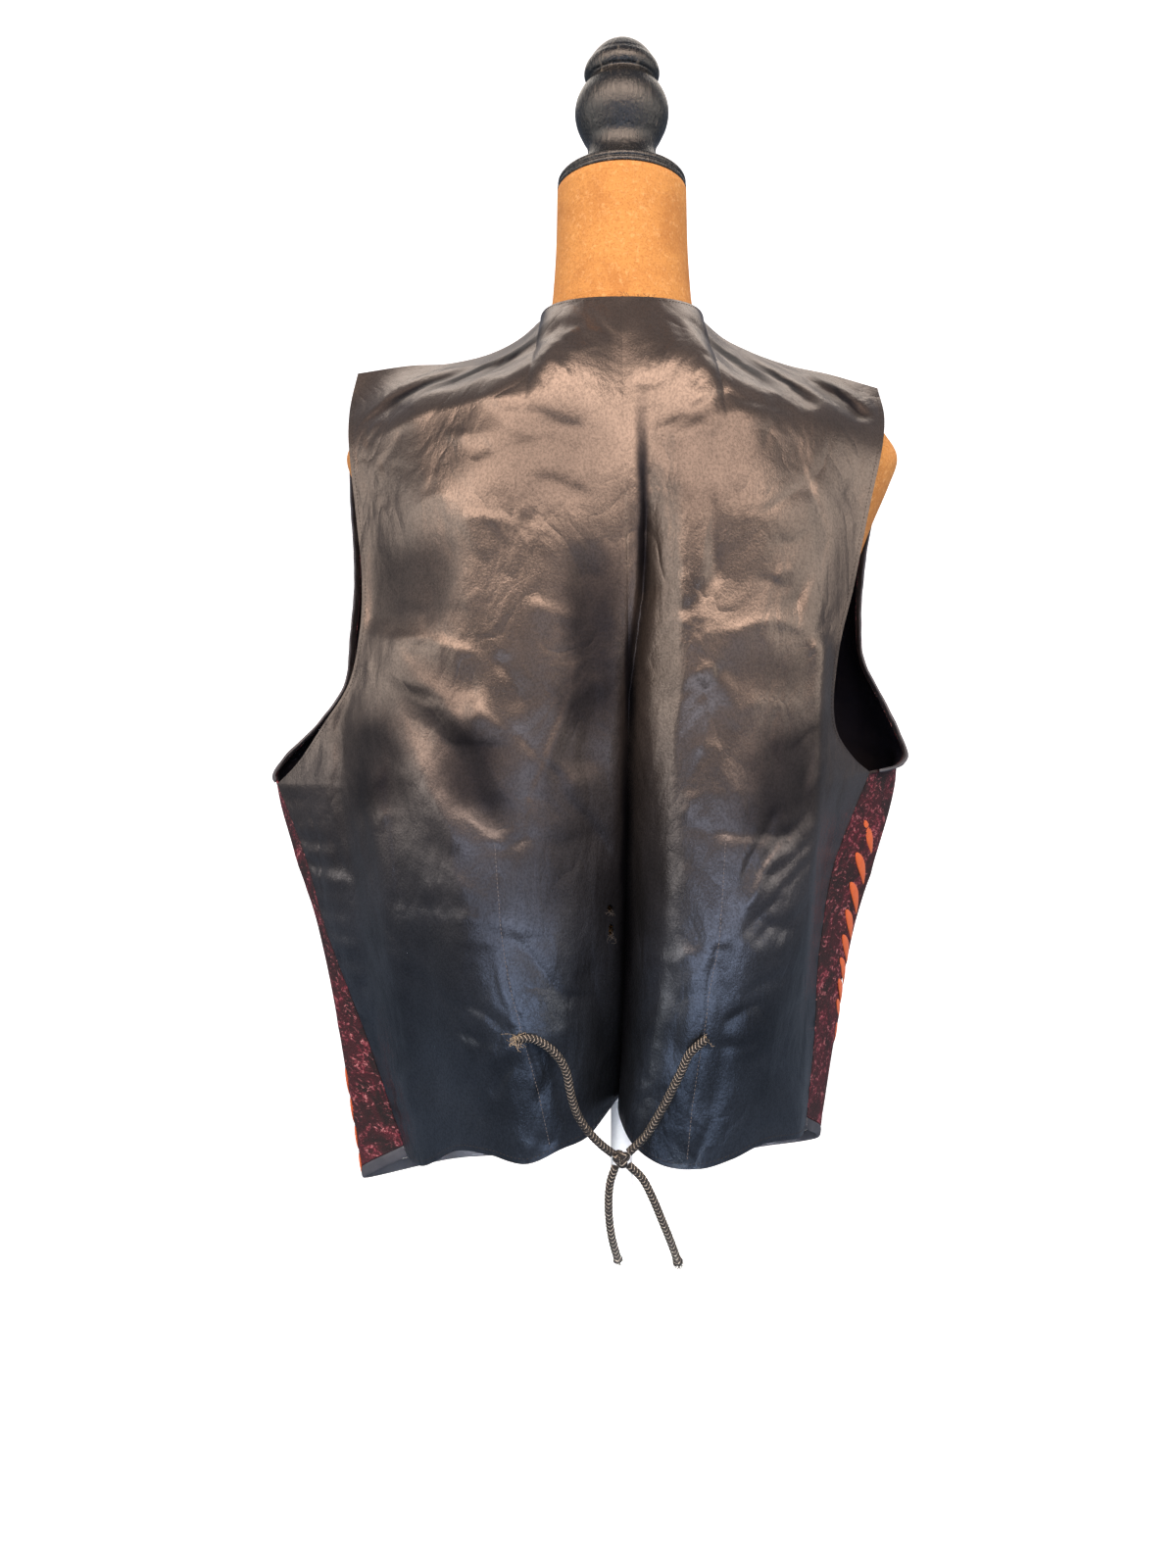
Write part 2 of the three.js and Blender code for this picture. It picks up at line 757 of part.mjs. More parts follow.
for (const { side, word } of SIDES) {
  const back = backPanel(side);
  add(`back_${word}`, side === LEFT ? ripped(back) : back, satin);
  add(`front_${word}`, frontPanel(side), velvet);
  add(`armhole_binding_${word}`, armholeBinding(side), bindingSatin);
  add(`edge_binding_${word}`, edgeBinding(side), bindingSatin);
  add(`hem_binding_${word}`, hemBinding(side), bindingSatin);
}

// Buttons on the left front, clear of its cloth
function lathe(rows, sides) {
  const outline = rows.map((row) => new THREE.Vector2(row.r, row.z));
  const geometry = new THREE.LatheGeometry(outline, sides);
  geometry.deleteAttribute('normal');
  geometry.deleteAttribute('uv');
  const turned = mergeVertices(geometry, 1e-4);
  const positions = new Float32Array(turned.attributes.position.array);
  const faces = [];
  for (let k = 0; k < turned.index.count; k += 3) {
    const [a, b, c] = [0, 1, 2].map((offset) => turned.index.getX(k + offset));
    if (a !== b && b !== c && c !== a) faces.push(a, b, c);
  }
  return closedGeometry(positions, faces);
}

// Share from 0 to 1 at which a rising value reaches its target
function solve(value, target) {
  let low = 0;
  let high = 1;
  for (let k = 0; k < 30; k += 1) {
    const middle = (low + high) / 2;
    if (value(middle) < target) low = middle;
    else high = middle;
  }
  return (low + high) / 2;
}

// Depth of the left front's cloth near its edge, at a height
function frontDepth(x, z) {
  const surface = fronts[LEFT];
  const v = solve((place) => surface(1, place).z, z);
  const u = solve((place) => surface(place, v).x, x);
  return surface(u, v).y;
}

for (let i = 0; i < BUTTON.count; i += 1) {
  const outline = table('r z', [
    [0, 0],
    [BUTTON.radius - 1, 0],
    [BUTTON.radius, 1.2],
    [BUTTON.radius - 0.6, BUTTON.thickness],
    [BUTTON.radius - 2.4, BUTTON.thickness - 1],
    [0, BUTTON.thickness - 1.4],
  ]);
  const height = BUTTON.topZ - i * BUTTON.pitch;
  const depth = frontDepth(BUTTON.x + BUTTON.radius, height) + VELVET / 2 + SEAM_GAP;
  add(`button_${i + 1}`, lathe(outline, 16), horn).position.set(BUTTON.x, depth, height);
}

// Cords
function cordTube(rows) {
  const points = rows.map((row) => new THREE.Vector3(row.x, row.y, row.z));
  const path = new THREE.CatmullRomCurve3(points);
  const section = new THREE.Shape();
  for (let k = 0; k < CORD.sides; k += 1) {
    const turn = k / CORD.sides * Math.PI * 2;
    const corner = [CORD.radius * Math.cos(turn), CORD.radius * Math.sin(turn)];
    if (k === 0) section.moveTo(...corner);
    else section.lineTo(...corner);
  }
  section.closePath();
  const stepCount = Math.max(4, Math.round(path.getLength() / CORD.step));
  return new THREE.ExtrudeGeometry(section, { steps: stepCount, bevelEnabled: false, extrudePath: path });
}

for (const [name, rows] of Object.entries(CORD_ROUTES)) add(name, cordTube(rows), braid);

const knotOutline = [];
for (let k = 0; k <= 8; k += 1) {
  const turn = -Math.PI / 2 + k / 8 * Math.PI;
  knotOutline.push({ r: CORD.knotRadius * Math.cos(turn), z: CORD.knotHeight / 2 * Math.sin(turn) });
}
knotOutline[0].r = 0;
knotOutline[8].r = 0;
const knot = add('cord_knot', lathe(knotOutline, 12), braid);
knot.geometry.rotateX(Math.PI / 2);
knot.position.set(KNOT.x, KNOT.y, KNOT.z);

// Dress form
function formTorso() {
  const rings = FORM.map((section) => {
    const ring = [];
    for (let k = 0; k < FORM_SIDES; k += 1) {
      const turn = k / FORM_SIDES * Math.PI * 2;
      const power = 2 / section.power;
      const depth = Math.sin(turn) < 0 ? section.back : section.front;
      const x = section.half * Math.sign(Math.cos(turn)) * Math.abs(Math.cos(turn)) ** power;
      const y = depth * Math.sign(Math.sin(turn)) * Math.abs(Math.sin(turn)) ** power;
      ring.push([x, y, section.z]);
    }
    return ring;
  });
  const positions = new Float32Array([...rings.flat(2), 0, 0, FORM[0].z, 0, 0, FORM.at(-1).z]);
  const faces = [];
  const top = rings.length * FORM_SIDES;
  for (let k = 0; k < FORM_SIDES; k += 1) {
    const next = (k + 1) % FORM_SIDES;
    for (let r = 0; r < rings.length - 1; r += 1) {
      const a = r * FORM_SIDES;
      const b = a + FORM_SIDES;
      faces.push(a + k, b + k, b + next, a + k, b + next, a + next);
    }
    const bottom = (rings.length - 1) * FORM_SIDES;
    faces.push(top, k, next, top + 1, bottom + next, bottom + k);
  }
  return closedGeometry(positions, faces);
}

add('form_torso', formTorso(), suede);
const discOutline = table('r z', [
  [0, DISC.bottomZ],
  [DISC.radius - 1, DISC.bottomZ],
  [DISC.radius, DISC.bottomZ + 2],
  [DISC.radius, DISC.topZ - 3],
  [DISC.radius - 3, DISC.topZ],
  [0, DISC.topZ],
]);
const raised = (rows) => lathe(rows, 32).rotateX(Math.PI / 2);
add('form_disc', raised(discOutline), blackWood);
add('form_finial', raised(FINIAL), blackWood);
const poleTop = FORM.at(-1).z - SEAM_GAP;
const poleOutline = table('r z', [
  [0, POLE.bottomZ],
  [COLLAR.radius, POLE.bottomZ],
  [COLLAR.radius, POLE.bottomZ + COLLAR.height - 3],
  [COLLAR.radius - 3, POLE.bottomZ + COLLAR.height],
  [POLE.radius, POLE.bottomZ + COLLAR.height],
  [POLE.radius, poleTop],
  [0, poleTop],
]);
add('form_pole', raised(poleOutline), steel);
const baseOutline = table('r z', [
  [0, 0],
  [BASE.radius, 0],
  [BASE.radius, BASE.height - 8],
  [BASE.radius - 3, BASE.height - 3],
  [BASE.radius - 10, BASE.height],
  [0, BASE.height],
]);
add('form_base', raised(baseOutline), steel);

export default waistcoat;
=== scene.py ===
"""Waistcoat with a satin back and velvet fronts on a dress form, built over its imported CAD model."""
import math

import bmesh
import bpy
import numpy as np
from mathutils import Matrix, Vector


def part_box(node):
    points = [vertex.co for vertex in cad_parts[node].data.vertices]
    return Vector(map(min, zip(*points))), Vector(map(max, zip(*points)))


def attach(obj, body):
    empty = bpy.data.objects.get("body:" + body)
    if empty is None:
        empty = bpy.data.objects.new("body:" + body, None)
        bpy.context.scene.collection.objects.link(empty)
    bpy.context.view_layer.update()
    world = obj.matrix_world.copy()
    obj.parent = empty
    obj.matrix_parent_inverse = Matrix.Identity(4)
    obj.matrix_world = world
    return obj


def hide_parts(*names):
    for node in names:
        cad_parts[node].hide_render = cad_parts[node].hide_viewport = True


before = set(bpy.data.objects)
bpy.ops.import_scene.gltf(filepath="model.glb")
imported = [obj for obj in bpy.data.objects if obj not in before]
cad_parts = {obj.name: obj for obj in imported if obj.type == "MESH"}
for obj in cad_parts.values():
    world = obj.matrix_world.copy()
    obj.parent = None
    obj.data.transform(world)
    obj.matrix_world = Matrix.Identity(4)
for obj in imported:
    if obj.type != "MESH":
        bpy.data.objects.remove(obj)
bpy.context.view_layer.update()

bl_info = {
    "name": "Waistcoat on a dress form",
    "version": (1, 0, 0),
    "blender": (4, 2, 0),
    "location": "View3D > Sidebar > Waistcoat",
    "description": "Builds a waistcoat with a satin back and velvet fronts on a dress form",
    "category": "Add Mesh",
}

# The tables and lengths below are in millimetres, and in the same frame as the CAD model
MM = 0.001
TURN = 2 * math.pi
# The sides as seen from the back, which are also the wearer's
LEFT, RIGHT = -1, 1
SIDES = {LEFT: "left", RIGHT: "right"}


def table(columns, rows):
    """Columns by name, each as an array."""
    return dict(zip(columns.split(), np.array(rows, float).T))


# Thicknesses, widths and gaps
SEAM_GAP = 0.3
SATIN = 1.4
VELVET = 2.2
BINDING_THICKNESS = 2.8
BINDING_WIDTH = 8
HEM_BINDING_WIDTH = 10
ARMHOLE_BINDING_GAP = 0.6
UNDERLAP = 5
CENTRE_OVERLAP = 0.4

# Shares of a panel: u runs across it from 0 to 1, and v from its hem to its top
UNDERARM_V = 0.4
NECK_POINT_U = 0.3
BACK_STATIONS = np.array([0, 0.24, 0.66, 1])
FRONT_STATIONS = np.array([0, 0.22, 0.52, 1])
TOP_BLEND = (0.8, 1)
HEM_BLEND = (0, 0.18)
UNDERLAP_BLEND = (0.72, 0.86)
BINDING_START = 0.012
BINDING_TOP = 0.9995
HEM_BINDING_END = 0.985

# A short step in u or v, a share that counts as an end, the distance in metres at which two corners
# count as one, and how many places a row has from which others are read
NUDGE = 1e-3
END = 1e-6
MEETING = 1e-6
ROW_PLACES = 240

# The dress form, from the top of the neck down: half width, depth to the back and to the front,
# and the power of its outline in plan (2 is an ellipse, less is pinched towards the shoulders)
FORM = table("z half back front power", [
    (1285.7, 53, 53, 53, 2), (1240, 54, 54, 54, 2), (1208, 56, 56, 57, 2), (1190, 58, 58, 60, 2),
    (1177, 62.5, 60.5, 63, 1.8), (1165, 73, 61, 65.5, 1.45), (1153, 101, 63.5, 70, 1.2),
    (1143, 131, 66, 75, 1.08), (1132, 155, 70, 79, 1.13), (1117, 182, 74, 85, 1.22),
    (1100, 206, 79, 91, 1.4), (1085, 219, 83, 96, 1.65), (1066, 227, 86, 101, 1.95),
    (1042, 219, 88, 106, 2.1), (1005, 203, 90, 112, 2.2), (960, 187, 89, 116, 2.2),
    (900, 173, 84, 114, 2.2), (830, 156, 74, 106, 2.2), (770, 146, 64, 100, 2.2),
    (710, 146, 52, 98, 2.2), (665, 148, 44, 94, 2.2), (648, 140, 38, 86, 2.2),
    (640, 122, 30, 70, 2.2),
])

# Back of the waistcoat: lines from hem (v = 0) to neck and shoulder (v = 1); out is the distance from
# the middle towards the panel's own side
CENTRE_BACK = table("v x y z", [
    (0, -2, -42, 557), (0.12, -1, -56, 622), (0.27, 1, -69, 705), (0.4, 2, -86, 790),
    (0.53, 2, -100, 868), (0.66, 1, -108, 953), (0.8, -1, -105, 1048), (0.92, -2, -87, 1126),
    (1, -2, -68, 1173),
])
INNER_BACK = {
    LEFT: table("v out y z", [
        (0, 40, -100, 533), (0.12, 48, -110, 612), (0.27, 55, -115, 700), (0.4, 56, -118, 792),
        (0.53, 58, -121, 866), (0.66, 62, -122, 950), (0.8, 64, -117, 1044), (0.92, 60, -92, 1124),
        (1, 61, -20, 1179),
    ]),
    RIGHT: table("v out y z", [
        (0, 18, -109, 527), (0.12, 26, -114, 612), (0.27, 36, -117, 700), (0.4, 44, -119, 792),
        (0.53, 52, -121, 866), (0.66, 58, -122, 950), (0.8, 62, -117, 1042), (0.92, 60, -92, 1120),
        (1, 61, -20, 1179),
    ]),
}
OUTER_BACK = {
    LEFT: table("v out y z", [
        (0, 112, -92, 525), (0.12, 125, -98, 606), (0.27, 150, -98, 696), (0.4, 168, -96, 798),
        (0.53, 158, -99, 856), (0.66, 148, -100, 940), (0.8, 146, -93, 1035), (0.92, 142, -62, 1106),
        (1, 135, 0, 1147),
    ]),
    RIGHT: table("v out y z", [
        (0, 95, -99, 530), (0.12, 108, -102, 612), (0.27, 122, -103, 700), (0.4, 132, -101, 797),
        (0.53, 132, -102, 862), (0.66, 132, -103, 946), (0.8, 134, -95, 1032), (0.92, 134, -63, 1100),
        (1, 130, 0, 1145),
    ]),
}

# Seams that the back and the front share
SIDE_SEAM = {
    LEFT: table("v out y z", [
        (0, 175, -8, 496), (0.12, 206, -4, 585), (0.27, 246, 0, 690), (0.34, 262, 2, 745),
        (0.4, 284, 4, 800),
    ]),
    RIGHT: table("v out y z", [
        (0, 147, -20, 522), (0.12, 156, -10, 592), (0.27, 164, -2, 680), (0.34, 176, 2, 738),
        (0.4, 205, 5, 810),
    ]),
}
SHOULDER_SEAM = {
    LEFT: table("t out y z", [
        (0, 66, -1, 1181), (0.1, 79, 0, 1169.5), (0.28, 104, 0, 1155.2), (0.5, 140, 1, 1146.2),
        (0.72, 174, 2, 1144.6), (1, 218, 4, 1139),
    ]),
    RIGHT: table("t out y z", [
        (0, 66, -1, 1181), (0.1, 79, 0, 1169.5), (0.28, 104, 0, 1156), (0.5, 137, 1, 1144.5),
        (0.72, 169, 1, 1137.5), (1, 211, 2, 1126),
    ]),
}
NAPE = (-2, -68, 1173)
NECK_RISE = 8

# Hem of the back, from the notch at the middle to the side seam
BACK_HEM = {
    LEFT: table("u out y z", [
        (0, 2, -42, 557), (0.08, 14, -64, 547), (0.16, 27, -86, 537), (0.28, 48, -105, 532),
        (0.42, 72, -110, 523), (0.58, 102, -99, 526), (0.72, 126, -80, 523), (0.88, 158, -40, 499),
        (1, 175, -8, 496),
    ]),
    RIGHT: table("u out y z", [
        (0, -2, -42, 557), (0.1, -4, -74, 550), (0.2, 4, -98, 536), (0.32, 22, -111, 524),
        (0.48, 52, -113, 520), (0.62, 78, -106, 525), (0.76, 104, -88, 531), (0.9, 136, -52, 525),
        (1, 147, -20, 522),
    ]),
}

# Armholes, from the top of the side seam to the tip of the shoulder
BACK_ARMHOLE = {
    LEFT: table("v out y z", [
        (0.4, 284, 4, 800), (0.46, 261, -16, 819), (0.51, 238, -36, 846), (0.57, 214, -52, 878),
        (0.63, 205, -56, 915), (0.7, 204, -50, 958), (0.78, 210, -42, 1010), (0.85, 215, -39, 1050),
        (0.91, 219, -29, 1082), (0.96, 221, -8, 1112), (1, 218, 4, 1139),
    ]),
    RIGHT: table("v out y z", [
        (0.4, 205, 5, 810), (0.44, 186, -24, 820), (0.48, 168, -52, 836), (0.53, 160, -68, 856),
        (0.6, 162, -74, 897), (0.7, 176, -66, 953), (0.8, 190, -58, 1015), (0.88, 203, -46, 1066),
        (0.93, 209, -28, 1092), (1, 211, 2, 1126),
    ]),
}
FRONT_ARMHOLE = {
    LEFT: table("v out y z", [
        (0.4, 284, 4, 800), (0.43, 293, 20, 806), (0.47, 287, 37, 823), (0.52, 264, 52, 850),
        (0.57, 244, 60, 880), (0.66, 236, 62, 932), (0.73, 232, 60, 975), (0.8, 232, 54, 1012),
        (0.88, 232, 40, 1058), (0.94, 227, 20, 1100), (1, 218, 4, 1139),
    ]),
    RIGHT: table("v out y z", [
        (0.4, 205, 5, 810), (0.43, 228, 18, 813), (0.47, 244, 33, 822), (0.52, 242, 46, 842),
        (0.57, 231, 57, 872), (0.62, 216, 63, 903), (0.7, 212, 65, 945), (0.8, 216, 59, 1005),
        (0.89, 222, 38, 1062), (0.95, 218, 16, 1098), (1, 211, 2, 1126),
    ]),
}

# Fronts: the line where each rounds away at the side, the line down the chest, and the front edge
SIDE_FRONT = {
    LEFT: table("v out y z", [
        (0, 217, 26, 467), (0.12, 231, 33, 548), (0.27, 252, 38, 672), (0.4, 288, 50, 803),
        (0.48, 268, 74, 834), (0.57, 230, 92, 882), (0.68, 218, 94, 945), (0.8, 214, 87, 1018),
        (0.9, 208, 60, 1084), (1, 185, 3, 1144),
    ]),
    RIGHT: table("v out y z", [
        (0, 172, 56, 492), (0.12, 184, 62, 562), (0.27, 205, 68, 672), (0.4, 242, 72, 806),
        (0.48, 232, 84, 840), (0.57, 214, 93, 882), (0.68, 202, 95, 945), (0.8, 200, 87, 1012),
        (0.9, 198, 60, 1078), (1, 178, 2, 1135),
    ]),
}
CHEST_FRONT = {
    LEFT: table("v out y z", [
        (0, 158, 94, 460), (0.12, 166, 108, 545), (0.27, 176, 116, 668), (0.4, 190, 122, 800),
        (0.53, 174, 129, 868), (0.68, 150, 129, 960), (0.8, 138, 119, 1036), (0.9, 130, 90, 1098),
        (1, 128, 1, 1148),
    ]),
    RIGHT: table("v out y z", [
        (0, 128, 100, 470), (0.12, 136, 110, 552), (0.27, 148, 118, 672), (0.4, 166, 123, 802),
        (0.53, 160, 129, 868), (0.68, 148, 128, 955), (0.8, 136, 119, 1030), (0.9, 130, 90, 1092),
        (1, 126, 1, 1147),
    ]),
}
FRONT_EDGE = table("v out y z", [
    (0, 78, 125, 456), (0.08, 34, 134, 530), (0.16, -4, 138, 606), (0.22, -12, 139, 650),
    (0.45, -12, 141, 820), (0.6, -12, 140, 925), (0.69, -8, 136, 980), (0.8, 26, 118, 1056),
    (0.9, 53, 82, 1124), (0.95, 63, 51, 1158), (1, 66, -1, 1181),
])

# The largest soft folds: troughs (depth above 0) and ridges, each along a line seen from the back
FOLDS = table("side x1 z1 x2 z2 width depth", [
    (LEFT, -172, 890, -112, 846, 14, -4), (LEFT, -176, 838, -122, 762, 14, -4),
    (LEFT, -222, 860, -205, 640, 9, 4), (LEFT, -190, 800, -170, 560, 16, -5),
    (RIGHT, 44, 1050, 50, 880, 16, -4), (RIGHT, 146, 900, 142, 640, 9, -5),
])

# Two small rips in the left back, beside the middle, the depth of the threads in them, and how far
# round a rip, in its own half sizes, the cloth is made finer
RIPS = table("x z half_width half_height", [
    (-11.5, 706, 2.6, 3.4), (-10.5, 689.5, 2.5, 5.6),
])
RIP_Y = -112
RIP_FINE = 2.6

# Round heights of the hem and the nape, from which a search on the back starts
HEM_Z = 540
NAPE_Z = 1160

# Cords: points from the dart seam to the knot, and from the knot to each free end
KNOT = np.array([-3.9, -126, 531.5])
CORD_ROUTES = {
    "cord_left": table("x y z", [
        (-79, -124.8, 616.5), (-67, -125, 617), (-56, -125.2, 611), (-48, -125, 602.5),
        (-43.3, -125, 593), (-41, -125, 582), (-38.4, -125, 571), (-34.1, -125.2, 560.5),
        (-27.8, -125.5, 551.3), (-19.5, -125.8, 542.5), (-10, -126, 535),
    ]),
    "cord_right": table("x y z", [
        (57, -127.7, 618), (45, -127.4, 607), (38, -127, 592.5), (30.6, -126.8, 577.6),
        (22.2, -126.4, 562), (13.4, -126.1, 548), (1.5, -126, 536),
    ]),
    "cord_tail_left": table("x y z", [
        (-8.2, -126, 526), (-12, -126, 514), (-13, -126, 495.3), (-10.9, -126, 476.2),
        (-6, -126, 458),
    ]),
    "cord_tail_right": table("x y z", [
        (1.4, -126, 527), (11, -126, 517.4), (18, -126, 504.4), (25.7, -126, 486.1),
        (32, -126, 470.6), (37, -126, 456.5),
    ]),
}

# Turned black finial, radius against height
FINIAL = table("r z", [
    (0, 1297), (34, 1297), (35, 1301), (31, 1308), (28, 1318), (28.5, 1324), (33, 1333), (37, 1342),
    (38.5, 1350.5), (37.5, 1359), (33.5, 1368), (28, 1375), (27.4, 1377.2), (29.4, 1379.2),
    (31, 1383.5), (29.8, 1389), (26.6, 1393.6), (25.9, 1395), (24.8, 1396.6), (19.6, 1402.6),
    (11.5, 1408.2), (0, 1412.5),
])

# Braid of the cord and of its knot; BRAID_TURNS is the most turns that one cord takes
CORD_RING = 0.4
BRAID_STRANDS = 4
BRAID_PITCH = 2.7
BRAID_TURNS = 60
BRAID_CORE = 0.93
BRAID_RELIEF = 0.09
TAIL_FLARE = 0.28
KNOT_RELIEF = 0.1
KNOT_TURNS = 18
KNOT_SIZE = 1.35
KNOT_DEPTH = 2.6
KNOT_RADIUS = 2.75
KNOT_RINGS = 161

# Relief of the cloth
CREASE_ROUNDING = 0.5
FACE_SOFTNESS = 0.5
YOKE_SLOPE = 0.16
YOKE_ROUNDING = 14
SEAM_TURN = 1.2
SEAM_LAP = 0.06
DRAPE = 0.002
DRAPE_WAVES = 14
DRAPE_LENGTHS = (50, 150)
RUFFLE = 1.1
WANDER = 1.6
BACK_CREASES = 130
FRONT_CREASES = 170

# Scattered creases: half length, sideways bend, width to the left and right, and spread of the tilt
CREASE_REACH = (10, 34)
CREASE_BEND = (-5, 5)
CREASE_LEFT = (2.2, 5)
CREASE_RIGHT = (2.6, 12)
CREASE_TILT = 32

# Bindings: how square their section is across and in depth, and how far they crumple
BINDING_SQUARE = (0.55, 0.75)
CRUMPLE = 0.16

# Stitches, each with its pitch, length and radius, and their distance from the edge
TOP_STITCH = (3.1, 2.1, 0.2)
DART_STITCH = (3, 2.5, 0.25)
STITCH_INSET = 4

# Camera and backdrop
SENSOR_HEIGHT = 36
LENS = 27.045
CAMERA_X = -0.0278
BACKDROP_DISTANCE = 2600
BACKDROP_BEND = 700

# Leaves, buttons, dress form and stand
LEAF_WIDTH = 12
LEAF_RISE = 1.1
LEAF_BEND = 1.2
LEAF_STEP = (0.085, -0.03)
LEAF_SEAT = 0.25
LEAF_STRAND = 0.55
BUTTONS = 4
BUTTON_HOLE = 1.8
BUTTON_SINK = 1.3
TORSO_RINGS = 200
NECK_FOOT = (1150, 1180)
SUEDE_INSET = 1.1
POLE_TOP = 639.7

# Rounded profile of the disc under the finial, from its middle
DISC_PROFILE = [
    (0, 1286), (50, 1286), (52.4, 1286.8), (53, 1288.4), (52.6, 1290), (51.6, 1290.9),
    (52.4, 1291.8), (52.6, 1293.4), (51, 1295.8), (47, 1296.6), (30, 1296.7), (0, 1296.7),
]


def leaf_rows(first, last, count, low_u, high_u):
    """Leaves up a stem, each from its upper end to its lower one, as u and v on a front."""
    starts = zip(np.linspace(low_u, high_u, count), np.linspace(first, last, count))
    return [((u, v), (u + LEAF_STEP[0], v + LEAF_STEP[1])) for u, v in starts]


LEAVES = {
    LEFT: leaf_rows(0.03, 0.13, 4, 0.2, 0.178),
    RIGHT: leaf_rows(0.165, 0.365, 9, 0.155, 0.065),
}

